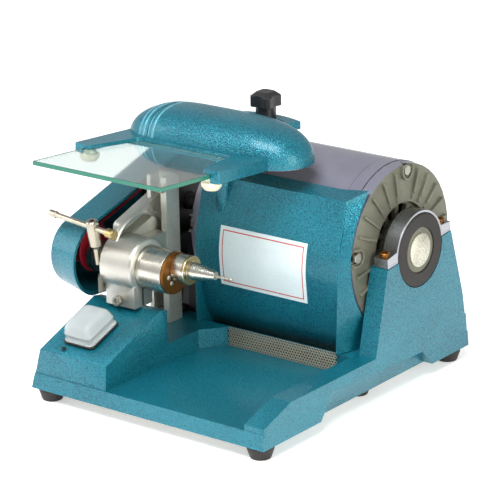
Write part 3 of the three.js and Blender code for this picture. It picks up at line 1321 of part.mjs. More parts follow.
// The saddle on the motor's crown, with the pedestal the lock knob screws into.
function knobSaddle() {
  const x0 = -post.x - saddle.length * half;
  const x1 = -post.x + saddle.length * half;
  const inner = motor.radius + gap;
  const shoe = box(x0, x1, knob.y - saddle.width * half, knob.y + saddle.width * half, axis.z,
    axis.z + 2 * inner)
    .intersect(rodX(inner + saddle.thickness, x0, x1, axis.y, axis.z, fine));
  const pillar = rodZ(saddle.pedestalRadius, axis.z + motor.radius * half, saddle.pedestalTop, -post.x,
    knob.y);
  return cut(join(shoe, pillar), rodX(inner, x0 - overrun, x1 + overrun, axis.y, axis.z, fine),
    rodZ(knob.stud + gap, post.lugTop - knob.studDown, saddle.pedestalTop + overrun, -post.x, knob.y));
}

function lockKnob() {
  const seat = post.lugTop + gap;
  const headBottom = seat + knob.neckHeight;
  const headTop = headBottom + knob.headHeight;
  const stem = turnedZ([
    [seat - knob.studDown, 0], [seat - knob.studDown, knob.stud], [seat, knob.stud], [seat, knob.neckRadius],
    [headBottom + bite, knob.neckRadius], [headBottom + bite, 0],
  ], -post.x, knob.y, coarse);
  const corners = (reach, z) => [[1, 1], [-1, 1], [1, -1], [-1, -1]].flatMap(([a, b]) => [
    [-post.x + a * reach, knob.y + b * (reach - knob.corner), z],
    [-post.x + a * (reach - knob.corner), knob.y + b * reach, z],
  ]);
  const head = block([...corners(knob.headHalf, headBottom), ...corners(knob.headHalf, headTop),
    ...corners(knob.domeHalf, headTop + knob.domeHeight)]);
  const reach = knob.headHalf + knob.scallopRadius - knob.scallopDepth;
  const scallops = [[1, 0], [-1, 0], [0, 1], [0, -1]].map(([a, b]) => rodZ(knob.scallopRadius,
    headBottom - overrun,
    headTop + overrun, -post.x + a * reach, knob.y + b * reach, medium));
  return join(stem, cut(head, ...scallops));
}

node('hood_post', rodZ(post.radius, cover.ledgeTop - post.depth + gap, post.top, -post.x, post.y), 'steel');
node('hood', lampHood(), 'hammered');
node('glass_plate', glassPlate(), 'glass');
node('glass_retainer_right', glassRetainer(1), 'cream');
node('glass_retainer_left', glassRetainer(-1), 'cream');
node('lamp_diffuser', diffuserPlate(), 'cream');
node('lamp_tube', lampTube(), 'cream');
node('knob_saddle', knobSaddle(), 'hammered');
node('lock_knob', lockKnob(), 'black');

// The origin is moved to the middle of the whole object's footprint, at the table.
const bounds = new THREE.Box3().setFromObject(lathe);
const middle = bounds.getCenter(new THREE.Vector3());
for (const piece of lathe.children) piece.geometry.translate(-middle.x, -middle.y, -bounds.min.z);

export default lathe;
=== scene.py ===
# %% [markdown]
# # A bench dental lathe
# A belt-driven grinding spindle on a hammered blue base, with a motor in rubber
# rings behind it and a lamp hood that carries a glass eye shield. The frame gives
# every rigid piece at its real size in metres. This script lays the photograph's
# camera and a plain studio, builds the finishes, and then dresses or rebuilds each
# piece on its own body.

# %%
import json
from math import acos, atan2, copysign, cos, hypot, pi, radians, sin, tan

import bmesh
import bpy
from mathutils import Matrix, Vector

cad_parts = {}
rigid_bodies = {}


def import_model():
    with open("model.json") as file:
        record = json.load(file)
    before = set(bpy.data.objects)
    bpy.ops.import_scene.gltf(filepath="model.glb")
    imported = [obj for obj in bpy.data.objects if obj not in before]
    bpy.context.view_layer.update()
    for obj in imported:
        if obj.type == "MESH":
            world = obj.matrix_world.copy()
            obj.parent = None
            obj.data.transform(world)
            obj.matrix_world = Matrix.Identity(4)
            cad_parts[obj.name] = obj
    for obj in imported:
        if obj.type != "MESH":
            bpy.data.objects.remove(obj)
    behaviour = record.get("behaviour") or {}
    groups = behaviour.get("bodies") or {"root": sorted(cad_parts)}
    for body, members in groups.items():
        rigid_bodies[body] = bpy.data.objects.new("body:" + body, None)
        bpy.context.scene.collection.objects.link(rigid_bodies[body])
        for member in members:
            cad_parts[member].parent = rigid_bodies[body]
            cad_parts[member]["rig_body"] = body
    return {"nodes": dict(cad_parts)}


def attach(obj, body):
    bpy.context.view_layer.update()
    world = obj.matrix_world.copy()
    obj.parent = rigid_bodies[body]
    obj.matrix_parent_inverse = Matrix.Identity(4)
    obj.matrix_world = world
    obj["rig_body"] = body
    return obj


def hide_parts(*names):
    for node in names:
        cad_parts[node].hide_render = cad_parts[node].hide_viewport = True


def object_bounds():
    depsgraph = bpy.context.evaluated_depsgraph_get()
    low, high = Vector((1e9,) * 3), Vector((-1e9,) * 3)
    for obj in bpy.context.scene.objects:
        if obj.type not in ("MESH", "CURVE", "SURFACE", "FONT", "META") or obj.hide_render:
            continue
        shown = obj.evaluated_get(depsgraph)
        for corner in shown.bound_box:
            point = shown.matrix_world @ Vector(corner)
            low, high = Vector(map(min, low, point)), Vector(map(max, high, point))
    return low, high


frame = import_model()
nodes = frame["nodes"]
cad_box = [list(corner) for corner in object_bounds()]
print("CAD box in mm:", [[round(v * 1000, 1) for v in corner] for corner in cad_box])

# %% [markdown]
# ## Places
# Sizes below are in millimetres from the front right corner of the base, as on the
# drawing: X along the motor to the right, Y to the back, Z up. `at` turns them into
# the frame's metres.

# %%
MM = 0.001
CORNER = Vector((cad_box[1][0], cad_box[0][1], 0)) / MM


def at(x, y, z):
    return Vector((x + CORNER.x, y + CORNER.y, z + CORNER.z)) * MM


collection = bpy.context.scene.collection


def body_of(node):
    return nodes[node]["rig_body"]


def keep(mesh, name, body, material, stands_for):
    """Puts a finished mesh in the scene on its body."""
    mesh.name = name
    piece = bpy.data.objects.new(name, mesh)
    collection.objects.link(piece)
    mesh.materials.clear()
    mesh.materials.append(material)
    if stands_for:
        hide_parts(*stands_for)
    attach(piece, body)
    return piece


print("corner of the base:", [round(v, 3) for v in at(0, 0, 0)])

# %% [markdown]
# ## Camera
# The photograph's camera was solved from the edges of the base and the motor: a long
# lens from the front right, 18 degrees above the table.

# %%
FOCAL_PIXELS, PHOTO_PIXELS = 2679.12, 500
CAMERA_AT = at(1191.04, -1537.04, 827.37)
AZIMUTH, ELEVATION, ROLL = radians(37.99), radians(18.45), radians(-1.14)
toward = Vector((sin(AZIMUTH) * cos(ELEVATION), -cos(AZIMUTH) * cos(ELEVATION), sin(ELEVATION)))
level = Vector((cos(AZIMUTH), sin(AZIMUTH), 0))
upright = toward.cross(level)
right = level * cos(ROLL) + upright * sin(ROLL)
top = upright * cos(ROLL) - level * sin(ROLL)

lens = bpy.data.cameras.new("photo_camera")
lens.sensor_width = 36
lens.lens = FOCAL_PIXELS / PHOTO_PIXELS * lens.sensor_width
lens.clip_start, lens.clip_end = 0.1, 20
camera = bpy.data.objects.new("photo_camera", lens)
collection.objects.link(camera)
camera.matrix_world = Matrix.Translation(CAMERA_AT) @ Matrix((right, top, toward)).transposed().to_4x4()
bpy.context.scene.camera = camera
print("lens in mm:", round(lens.lens, 1), "distance in m:", round(camera.location.length, 2))

# %% [markdown]
# ## Studio
# A pale floor that glows a little, a white surround, one large soft light above and
# in front, and two weaker ones from the left and the right.

# %%
def srgb(red, green, blue):
    """A colour given as the 0 to 255 values seen on a screen, as the shader's linear ones."""
    linear = [((v / 255 + 0.055) / 1.055) ** 2.4 if v > 10 else v / 255 / 12.92 for v in (red, green, blue)]
    return (*linear, 1.0)


def wired(tree, kind, inputs={}, **settings):
    """A new node with its settings made and each input set to a value or joined to a socket."""
    node = tree.nodes.new(kind)
    for label, value in settings.items():
        setattr(node, label, value)
    for label, value in inputs.items():
        if isinstance(value, bpy.types.NodeSocket):
            tree.links.new(value, node.inputs[label])
        else:
            node.inputs[label].default_value = value
    return node


def plain_material(name, sockets):
    """A material with these sockets of its surface set, given back with that surface's node."""
    material = bpy.data.materials.new(name)
    material.use_nodes = True
    surface = material.node_tree.nodes["Principled BSDF"]
    for label, value in sockets.items():
        surface.inputs[label].default_value = value
    return material, surface


AIM, WHITE = Vector((0, 0, 0.1)), (1, 1, 1, 1)


def soft_light(name, spot, width, depth, power, tint):
    data = bpy.data.lights.new(name, "AREA")
    data.shape = "RECTANGLE"
    data.size, data.size_y, data.energy, data.color = width, depth, power, tint
    light = bpy.data.objects.new(name, data)
    collection.objects.link(light)
    light.location = spot
    light.rotation_euler = (Vector(spot) - AIM).to_track_quat("Z", "Y").to_euler()


soft_light("key", (0.25, -1.0, 1.8), 1.3, 1.0, 50, (0.97, 0.99, 1.0))
soft_light("left_fill", (-1.7, -0.9, 0.8), 1.0, 1.2, 13, (1.0, 1.0, 0.95))
soft_light("right_fill", (1.8, -0.3, 0.6), 1.2, 1.0, 20, (1.0, 1.0, 0.86))

world = bpy.data.worlds.new("studio")
bpy.context.scene.world = world
world.use_nodes = True
tree = world.node_tree
tree.nodes.clear()
dim, white = (wired(tree, "ShaderNodeBackground", {"Color": WHITE, "Strength": strength})
              for strength in (0.5, 1.0))
rays = wired(tree, "ShaderNodeLightPath")
mix = wired(tree, "ShaderNodeMixShader", {0: rays.outputs["Is Camera Ray"], 1: dim.outputs[0],
                                          2: white.outputs[0]})
wired(tree, "ShaderNodeOutputWorld", {"Surface": mix.outputs[0]})

floor_mesh = bpy.data.meshes.new("floor")
FLOOR_REACH, FLOOR_DROP, FLOOR_GLOW = 6, 0.0003, 0.42
corners = [(FLOOR_REACH * x, FLOOR_REACH * y, 0) for x, y in ((-1, -1), (1, -1), (1, 1), (-1, 1))]
floor_mesh.from_pydata(corners, [], [(0, 1, 2, 3)])
floor = bpy.data.objects.new("floor", floor_mesh)
collection.objects.link(floor)
floor.location.z = -FLOOR_DROP
paper, surface = plain_material("white_floor", {"Base Color": (0.9, 0.9, 0.9, 1), "Roughness": 0.75})
tree = paper.node_tree
glow = wired(tree, "ShaderNodeEmission", {"Color": WHITE, "Strength": FLOOR_GLOW})
both = wired(tree, "ShaderNodeAddShader", {0: surface.outputs[0], 1: glow.outputs[0]})
tree.links.new(both.outputs[0], tree.nodes["Material Output"].inputs["Surface"])
floor_mesh.materials.append(paper)

scene = bpy.context.scene
scene.view_settings.view_transform = "Standard"

# %% [markdown]
# ## Finishes
# Shared patterns are node groups that return a tone and a height: the pebbled
# hammered enamel, the grain of cast metal, which rubber and plastic share too, and
# the turning lines of steel. Each finish then mixes its own colours by the tone.

# %%
def pattern_group(name, settings, build):
    """A shader node group with named numbers as inputs, and Tone and Height as outputs."""
    group = bpy.data.node_groups.new(name, "ShaderNodeTree")
    for label, value in settings.items():
        socket = group.interface.new_socket(label, in_out="INPUT", socket_type="NodeSocketFloat")
        socket.default_value = value
    for label in ("Tone", "Height"):
        group.interface.new_socket(label, in_out="OUTPUT", socket_type="NodeSocketFloat")
    given = wired(group, "NodeGroupInput").outputs
    where = wired(group, "ShaderNodeTexCoord").outputs["Object"]
    tone, height = build(group, given, where)
    wired(group, "NodeGroupOutput", {"Tone": tone, "Height": height})
    return group


def maths(tree, operation, first, second):
    return wired(tree, "ShaderNodeMath", {0: first, 1: second}, operation=operation).outputs[0]


def spread(tree, value, low, high, to_low=0.0, to_high=1.0):
    return wired(tree, "ShaderNodeMapRange", {"Value": value, "From Min": low, "From Max": high,
                                              "To Min": to_low, "To Max": to_high}).outputs["Result"]


def noise(tree, where, scale, detail=2.0, rough=0.5):
    return wired(tree, "ShaderNodeTexNoise", {"Vector": where, "Scale": scale, "Detail": detail,
                                              "Roughness": rough}).outputs["Fac"]


def hammered(tree, given, where):
    """Small rounded pebbles that run together, over a slow change of tone."""
    warp = wired(tree, "ShaderNodeTexNoise", {"Vector": where, "Scale": 420})
    shift = wired(tree, "ShaderNodeVectorMath", {0: warp.outputs["Color"], 1: [0.0012] * 3, 2: where},
                  operation="MULTIPLY_ADD")
    cells = wired(tree, "ShaderNodeTexVoronoi", {"Vector": shift.outputs[0], "Scale": given["Scale"],
                                                 "Smoothness": 0.6}, feature="SMOOTH_F1")
    pebble = spread(tree, cells.outputs["Distance"], 0.12, 0.66, 1.0, 0.0)
    speck = noise(tree, where, maths(tree, "MULTIPLY", given["Scale"], 0.8))
    slow = noise(tree, where, 18, 1.0)
    tone = maths(tree, "ADD", maths(tree, "MULTIPLY", pebble, 0.55),
                 spread(tree, speck, 0.3, 0.7, 0.0, 0.5))
    tone = maths(tree, "ADD", tone, spread(tree, slow, 0.35, 0.65, -0.08, 0.08))
    return tone, maths(tree, "MULTIPLY", pebble, given["Depth"])


def cast_grain(tree, given, where):
    coarse = noise(tree, where, given["Scale"], 4.0, 0.65)
    slow = noise(tree, where, 35)
    tone = maths(tree, "ADD", maths(tree, "MULTIPLY", coarse, 0.6), maths(tree, "MULTIPLY", slow, 0.4))
    return spread(tree, tone, 0.32, 0.68), maths(tree, "MULTIPLY", coarse, given["Depth"])


def turning_lines(tree, given, where):
    """Fine lines left by the tool, square to X."""
    split = wired(tree, "ShaderNodeSeparateXYZ", {0: where})
    line = wired(tree, "ShaderNodeTexNoise", {"W": split.outputs["X"], "Scale": given["Scale"], "Detail": 3},
                 noise_dimensions="1D").outputs["Fac"]
    stain = noise(tree, where, 60, 3.0)
    tone = maths(tree, "ADD", maths(tree, "MULTIPLY", line, 0.7), maths(tree, "MULTIPLY", stain, 0.3))
    return spread(tree, tone, 0.35, 0.65), maths(tree, "MULTIPLY", line, given["Depth"])


patterns = {
    "hammered": pattern_group("hammered_pattern", {"Scale": 620, "Depth": 1.0}, hammered),
    "cast": pattern_group("cast_pattern", {"Scale": 900, "Depth": 1.0}, cast_grain),
    "turned": pattern_group("turned_pattern", {"Scale": 2600, "Depth": 1.0}, turning_lines),
}
print("patterns:", ", ".join(patterns))

# %% [markdown]
# Each finish is a dark and a light colour, given as screen values, with the roughness at
# each, the share of metal, the pattern's scale and the strength and height of its relief.

# %%
materials = {}


def finish(name, pattern, dark, light, rough, metal=0.0, scale=900, bump=0.1, height=0.0002,
           coat=0.0, coat_rough=0.1):
    """A material whose colour and roughness run between two values by a pattern's tone."""
    material, surface = plain_material(name, {"Metallic": metal, "Coat Weight": coat,
                                              "Coat Roughness": coat_rough})
    tree = material.node_tree
    grain = wired(tree, "ShaderNodeGroup", node_tree=patterns[pattern])
    grain.inputs["Scale"].default_value = scale
    tone = grain.outputs["Tone"]
    mixer = wired(tree, "ShaderNodeMix", {"Factor": tone, 6: srgb(*dark), 7: srgb(*light)}, data_type="RGBA")
    relief = wired(tree, "ShaderNodeBump", {"Strength": bump, "Distance": height,
                                            "Height": grain.outputs["Height"]})
    tree.links.new(mixer.outputs[2], surface.inputs["Base Color"])
    tree.links.new(spread(tree, tone, 0, 1, *rough), surface.inputs["Roughness"])
    tree.links.new(relief.outputs["Normal"], surface.inputs["Normal"])
    materials[name] = material


finish("hammered_enamel", "hammered", (0, 72, 92), (20, 134, 152), (0.4, 0.24), 0.42, 900, 0.6, 0.0004,
       coat=0.3, coat_rough=0.16)
# A lighter copy of the enamel: a painted highlight along the hood's grooves.
finish("groove_highlight_enamel", "hammered", (84, 168, 188), (150, 208, 220), (0.42, 0.3), 0.3, 760, 0.2, 0.0003,
       coat=0.3)
finish("machined_steel", "turned", (176, 172, 164), (226, 222, 212), (0.3, 0.2), 1.0, 2600, 0.06)
finish("satin_steel", "cast", (178, 176, 170), (216, 213, 205), (0.46, 0.36), 1.0, 1500, 0.04)
finish("cast_aluminium", "cast", (182, 181, 174), (222, 221, 214), (0.5, 0.38), 0.9, 1100, 0.12)
finish("bell_casting", "cast", (88, 88, 76), (126, 126, 112), (0.6, 0.48), 0.5, 1500, 0.16)
finish("shell_enamel", "cast", (104, 103, 118), (124, 123, 138), (0.38, 0.3), 0.25, 1200, 0.03,
       coat=0.4, coat_rough=0.2)
# Black metal for the pulley, seams and screws; on the left bracket it is painted shade.
finish("black_metal", "cast", (16, 17, 20), (36, 38, 42), (0.5, 0.38), 0.2, 1200, 0.1)
finish("black_plastic", "cast", (16, 16, 18), (36, 36, 39), (0.42, 0.32), 0.0, 1600, 0.1)
finish("black_rubber", "cast", (17, 14, 12), (34, 28, 25), (0.7, 0.55), 0.0, 1400, 0.2)
finish("dark_bronze", "cast", (96, 58, 20), (146, 96, 44), (0.45, 0.34), 0.9, 1300, 0.06)
finish("winding_copper", "turned", (110, 58, 30), (176, 104, 60), (0.5, 0.38), 0.9, 1800, 0.4)
finish("belt_red", "cast", (130, 8, 26), (176, 18, 44), (0.55, 0.4), 0.0, 1800, 0.1)
finish("label_white", "cast", (196, 208, 212), (216, 225, 227), (0.36, 0.28), 0.0, 700, 0.02)
finish("label_red", "cast", (176, 48, 44), (200, 66, 58), (0.45, 0.35), 0.0, 900, 0.02)
finish("cream_plastic", "cast", (206, 198, 172), (228, 222, 200), (0.5, 0.38), 0.0, 1100, 0.05)
finish("lamp_white", "cast", (232, 234, 232), (244, 245, 242), (0.3, 0.22), 0.0, 600, 0.02)
finish("polished_chrome", "turned", (120, 122, 128), (168, 170, 176), (0.34, 0.24), 1.0, 1500, 0.04)
finish("brass", "turned", (150, 130, 84), (196, 178, 130), (0.36, 0.26), 1.0, 2200, 0.05)
# A near-black finish for painted shade.
finish("painted_shade_black", "cast", (2, 2, 3), (7, 7, 8), (0.95, 0.85), 0.0, 1200, 0.05)
finish("grille_steel", "cast", (160, 150, 132), (200, 190, 170), (0.55, 0.42), 0.6, 1300, 0.06)
finish("warm_steel", "turned", (150, 141, 124), (204, 196, 180), (0.34, 0.24), 1.0, 2200, 0.05)
finish("silver_foil", "cast", (120, 116, 104), (236, 233, 218), (0.5, 0.3), 0.8, 700, 0.8, 0.0006)
finish("zinc_plate", "cast", (142, 140, 130), (196, 193, 182), (0.45, 0.32), 0.95, 1300, 0.06)
print("finishes:", len(materials))

# %% [markdown]
# The glass is clear with a green edge, and the switch's boot is milky.

# %%
def clear(name, colour, rough, transmission, bend):
    sockets = {"Base Color": srgb(*colour), "Roughness": rough, "Transmission Weight": transmission,
               "IOR": bend}
    materials[name] = plain_material(name, sockets)[0]


clear("clear_glass", (232, 243, 240), 0.03, 0.97, 1.45)
clear("glass_edge", (44, 124, 104), 0.2, 0.25, 1.5)
clear("milky_silicone", (214, 220, 222), 0.24, 0.6, 1.25)
print("clear finishes:", ", ".join(list(materials)[-3:]))

# %% [markdown]
# ## Shapes
# Meshes are skinned through rings of points, cut with other meshes where a recess or
# a hole is wanted, and kept at the origin like the frame's own pieces.

# %%
SHARP = radians(33)


def poured(shape):
    """A bmesh as a plain mesh."""
    mesh = bpy.data.meshes.new("shape")
    shape.to_mesh(mesh)
    shape.free()
    return mesh


def settled(shape):
    """The bmesh as a mesh, with its doubles merged, its faces out and its shading smooth."""
    bmesh.ops.remove_doubles(shape, verts=shape.verts, dist=2e-6)
    bmesh.ops.dissolve_degenerate(shape, edges=shape.edges, dist=1e-7)
    bmesh.ops.recalc_face_normals(shape, faces=shape.faces)
    for face in shape.faces:
        face.smooth = True
    return poured(shape)


def skin(rings, wrap=False):
    """A closed surface through rings of as many points each. wrap joins the last to the first."""
    shape = bmesh.new()
    rows = [[shape.verts.new(at(*point)) for point in ring] for ring in rings]
    pairs = list(zip(rows, rows[1:])) + ([(rows[-1], rows[0])] if wrap else [])
    for first, second in pairs:
        for i, vertex in enumerate(first):
            j = (i + 1) % len(first)
            shape.faces.new((vertex, first[j], second[j], second[i]))
    if not wrap:
        shape.faces.new(rows[0][::-1])
        shape.faces.new(rows[-1])
    return settled(shape)


def circle_steps(steps):
    return [2 * pi * k / steps for k in range(steps)]


def arc(centre, radius, start, end, steps):
    """Points on an arc from one angle to another, both ends kept."""
    angles = [start + (end - start) * k / steps for k in range(steps + 1)]
    return [(centre[0] + radius * cos(a), centre[1] + radius * sin(a)) for a in angles]


def hexagon(radius, start=0.0):
    return arc((0, 0), radius, start, start + 5 * pi / 3, 5)


def box(a0, b0, a1, b1):
    return [(a0, b0), (a1, b0), (a1, b1), (a0, b1)]


def turned_x(profile, y, z, steps=64):
    """A profile of (x, radius) pairs turned about the line through y, z along X."""
    return skin([[(x, y + radius * cos(angle), z + radius * sin(angle)) for x, radius in profile]
                 for angle in circle_steps(steps)], wrap=True)


def turned_z(profile, x, y, steps=48):
    """A profile of (radius, z) pairs turned about the upright line through x, y."""
    return skin([[(x + radius * cos(angle), y + radius * sin(angle), z) for radius, z in profile]
                 for angle in circle_steps(steps)], wrap=True)


def prism(outline, low, high, axis="x"):
    """An outline pushed along an axis: (y, z) pairs along X, (x, z) along Y or (x, y) along Z."""
    order = {"x": lambda p, t: (t, p[0], p[1]), "y": lambda p, t: (p[0], t, p[1]),
             "z": lambda p, t: (p[0], p[1], t)}[axis]
    return skin([[order(point, t) for point in outline] for t in (low, high)])


def carried(mesh, base, turn=Matrix.Identity(4)):
    """Takes a mesh drawn about the base's corner to a place in the frame, turned on the way."""
    mesh.transform(Matrix.Translation(base) @ turn @ Matrix.Translation(-at(0, 0, 0)))
    return mesh


def combined(operation, body, *tools):
    """The body with every tool cut from it, or joined to it."""
    whole = bpy.data.objects.new("whole", body)
    collection.objects.link(whole)
    parts = []
    for tool in tools:
        part = bpy.data.objects.new("tool", tool)
        collection.objects.link(part)
        step = whole.modifiers.new("step", "BOOLEAN")
        step.operation, step.solver, step.object = operation, "EXACT", part
        parts.append(part)
    mesh = bpy.data.meshes.new_from_object(whole.evaluated_get(bpy.context.evaluated_depsgraph_get()))
    for part in [*parts, whole]:
        bpy.data.objects.remove(part)
    return mesh


def merged(*meshes):
    shape = bmesh.new()
    for mesh in meshes:
        shape.from_mesh(mesh)
    return poured(shape)


print("shapes with edges above this many degrees are sharp:", round(SHARP / pi * 180))

# %% [markdown]
# A finished mesh is placed on its body, with its sharp edges rounded.


def place(name, mesh, body, finish_name, stands_for=(), width=0.0, angle=SHARP, segments=2):
    """Keeps a mesh as a piece, with sharp edges found by angle and rounded by width in mm."""
    piece = keep(mesh, name, body, materials[finish_name], stands_for)
    mesh.set_sharp_from_angle(angle=angle)
    if width:
        bevel = piece.modifiers.new("rounded_edges", "BEVEL")
        bevel.width = width * MM
        bevel.segments = segments
        bevel.limit_method = "ANGLE"
        bevel.angle_limit = angle
        bevel.harden_normals = True
        bevel.miter_outer = "MITER_ARC"
    return piece


# %% [markdown]
# Outlines are lists of 2-D points, rounded at their corners or moved inwards.

# %%
def filleted(corners, steps=6):
    """A closed outline through (a, b, radius) corners, each rounded by its radius."""
    points = []
    for k, (a, b, radius) in enumerate(corners):
        here = Vector((a, b))
        back = (Vector(corners[k - 1][:2]) - here).normalized()
        ahead = (Vector(corners[(k + 1) % len(corners)][:2]) - here).normalized()
        half = back.angle(ahead) / 2
        if radius <= 0 or half > pi / 2 - 0.02:
            points.append((a, b))
            continue
        centre = here + (back + ahead).normalized() * radius / sin(half)
        start = here + back * radius / tan(half) - centre
        end = here + ahead * radius / tan(half) - centre
        sweep = atan2(start.x * end.y - start.y * end.x, start.dot(end))
        for step in range(steps + 1):
            turn = sweep * step / steps
            points.append((centre.x + start.x * cos(turn) - start.y * sin(turn),
                           centre.y + start.x * sin(turn) + start.y * cos(turn)))
    return points


def rounded_box(a0, b0, a1, b1, radius, steps=5):
    return filleted([(*point, radius) for point in box(a0, b0, a1, b1)], steps)


def shrunk(outline, distance):
    """A closed outline that runs counter-clockwise, moved inwards along its own normals."""
    moved = []
    for k, point in enumerate(outline):
        here = Vector(point)
        before = (here - Vector(outline[k - 1])).normalized()
        after = (Vector(outline[(k + 1) % len(outline)]) - here).normalized()
        inward = Vector((-before.y - after.y, before.x + after.x)).normalized()
        reach = distance / max(0.3, Vector((-before.y, before.x)).dot(inward))
        moved.append(tuple(here + inward * reach))
    return moved


print("points on a rounded square:", len(rounded_box(0, 0, 10, 10, 2)))

# %% [markdown]
# ## Dressing the frame's pieces
# A dressed piece is a copy of its CAD node with the shared corners merged, the flat
# faces whole again, its real edges rounded and its curved faces shaded smooth.

# %%
def copied(node, reshape=None):
    """A clean copy of a CAD node's mesh. reshape moves a point given in mm from the corner."""
    mesh = nodes[node].data.copy()
    shape = bmesh.new()
    shape.from_mesh(mesh)
    bmesh.ops.remove_doubles(shape, verts=shape.verts, dist=3e-6)
    bmesh.ops.dissolve_limit(shape, angle_limit=radians(0.4), verts=shape.verts, edges=shape.edges)
    if reshape:
        for vertex in shape.verts:
            vertex.co = at(*reshape(*(vertex.co / MM - CORNER)))
    return settled(shape)


def dress(node, finish_name, width=0.5, reshape=None, segments=2):
    return place(node + "_piece", copied(node, reshape), body_of(node), finish_name, (node,), width,
                 segments=segments)


HOUSING_LEFT, LAMP_FORWARD, LAMP_DOWN = -217.5, 7, 2.4


def squeezed_lip(x, y, z):
    """The housing's stop lip, drawn in to a small rounded tongue."""
    if x < HOUSING_LEFT - 0.1 and y < 80:
        return HOUSING_LEFT + (x - HOUSING_LEFT) * 0.34, 64 + (y - 58) * 0.7, 93 + (z - 83) * 0.35
    return x, y, z


def lamp_place(x, y, z):
    return x, y - LAMP_FORWARD, z - LAMP_DOWN


dressed = {
    "hammered_enamel": {"knob_saddle": 1.0},
    "machined_steel": {"spindle_sleeve": 0.4, "spindle_shaft": 0.4, "spindle_pulley": 0.3, "rotor": 0.3,
                       "hood_post": 0.4, "motor_bearing_right": 0.3, "motor_bearing_left": 0.3},
    "cast_aluminium": {"spindle_bracket": 1.2},
    "shell_enamel": {"motor_shell": 0.2},
    # The left bracket is black as painted shade: it stands in the shaded gap between the motor and the cover.
    "black_metal": {"left_bracket": 0.8, "motor_pulley": 0.4},
    "black_plastic": {"lock_knob": 0.7, "switch_rocker": 0.5, "switch_body": 0.4, "cord_gland": 0.4},
    "black_rubber": {**{f"mount_ring_{side}": 0.6 for side in ("right", "left")},
                     **{f"foot_{row}_{side}": 0.6 for row in ("front", "middle", "rear")
                        for side in ("right", "left")}},
    "dark_bronze": {"sleeve_end_cap": 0.4},
    "winding_copper": {"stator": 0.4},
    "belt_red": {"drive_belt": 0.3},
    "cream_plastic": {"glass_retainer_right": 0.6, "glass_retainer_left": 0.6, "lamp_diffuser": 0.3},
    "polished_chrome": {"clamp_strap_right": 0.5, "clamp_strap_left": 0.5},
    "zinc_plate": {"bottom_plate": 0.3, "through_bolt_1": 0.3, "through_bolt_2": 0.3, "clamp_screw": 0.3,
                   "through_bolt_3": 0.3, "through_bolt_4": 0.3, "spindle_bearing_front": 0.2,
                   "spindle_bearing_rear": 0.2},
}
for finish_name, group in dressed.items():
    for node, width in group.items():
        dress(node, finish_name, width)
dress("spindle_housing", "satin_steel", 1.0, squeezed_lip, 3)
dress("lamp_tube", "lamp_white", 0.3, lamp_place)

# %% [markdown]
# ## Hood
# The dome's plan and its roof line follow one curve, blunter at the left end than at
# the right, and four grooves are turned round its left end. It is 3 mm thick and open
# below.

# %%
DOME_X, DOME_Y, DOME_BOTTOM, DOME_TOP = -166.1, 161.0, 192.5, 226.1
DOME_LENGTH, DOME_DEPTH, DOME_SHARE = 92.9, 36.4, 0.78
DOME_LEFT, DOME_RIGHT = (5.0, 1.31), (3.12, 2.37)
DOME_STOPS, DOME_STEPS, WALL = 56, 40, 3
GROOVES = [-226.8 + 5.3 * k for k in range(4)]
GROOVE_HALF = GROOVE_DEEP = 0.9
OUTER_SKIN = 27
POST = (-158.6, 155)


def dome_share(station):
    """The height and depth of the dome at -1 to 1 along it, as a share of the whole."""
    blunt, soft = DOME_LEFT if station < 0 else DOME_RIGHT
    return max(1 - abs(station) ** blunt, 0) ** (1 / soft)


def dome_rings(inset, grooved):
    edges = [x + reach for x in GROOVES for reach in (-1.1, -0.7, 0.7, 1.1)]
    stops = sorted([DOME_X + (DOME_LENGTH - inset) * -cos(pi * k / DOME_STOPS) for k in range(DOME_STOPS + 1)]
                   + edges)
    rings = []
    for x in stops:
        share = dome_share((x - DOME_X) / (DOME_LENGTH - inset))
        low = grooved and any(abs(x - groove) < GROOVE_HALF for groove in GROOVES)
        depth = max((DOME_DEPTH - inset) * share - (GROOVE_DEEP if low else 0), 0)
        rise = max((DOME_TOP - DOME_BOTTOM - inset) * share - (GROOVE_DEEP if low else 0), 0)
        ring = []
        for k in range(DOME_STEPS + 1):
            angle = pi * k / DOME_STEPS
            across = cos(angle)
            ring.append((x, DOME_Y - copysign(depth * abs(across) ** DOME_SHARE, across),
                         DOME_BOTTOM + rise * abs(sin(angle)) ** DOME_SHARE))
        rings.append(ring)
    return rings


def dome_mesh():
    """The outer and the inner dome, joined along the rim."""
    outer, inner = dome_rings(0, True), dome_rings(WALL, False)
    shape = bmesh.new()
    rows = [[[shape.verts.new(at(*point)) for point in ring] for ring in rings] for rings in (outer, inner)]
    for grid in rows:
        for first, second in zip(grid, grid[1:]):
            for i in range(len(first) - 1):
                shape.faces.new((first[i], first[i + 1], second[i + 1], second[i]))
    rims = [[row[0] for row in grid] + [row[-1] for row in grid[::-1]] for grid in rows]
    for i in range(len(rims[0])):
        j = (i + 1) % len(rims[0])
        shape.faces.new((rims[0][i], rims[0][j], rims[1][j], rims[1][i]))
    return settled(shape)


dome = place("hood_dome", dome_mesh(), "lamp_hood", "hammered_enamel", ("hood",), 0.5, radians(50))
# The outer faces of the four grooves take the lighter enamel, a painted highlight along each groove.
dome.data.materials.append(materials["groove_highlight_enamel"])
for face in dome.data.polygons:
    spot = face.center / MM - CORNER
    sunk = any(abs(spot.x - groove) < GROOVE_HALF for groove in GROOVES)
    face.material_index = int(sunk and hypot(spot.y - DOME_Y, spot.z - DOME_BOTTOM) > OUTER_SKIN)

print("hood from X", round(DOME_X - DOME_LENGTH, 1), "to", round(DOME_X + DOME_LENGTH, 1))

# %% [markdown]
# The shield's frame is a plate with two arms that rises 4 degrees to the front. Its
# underside has a pocket for the glass.

# %%
LEFT, RIGHT, DECK, TIP = -246.8, -93.2, 203.4, 68.5
PIVOT_Y, ARM_SLOPE = 130, radians(-4)


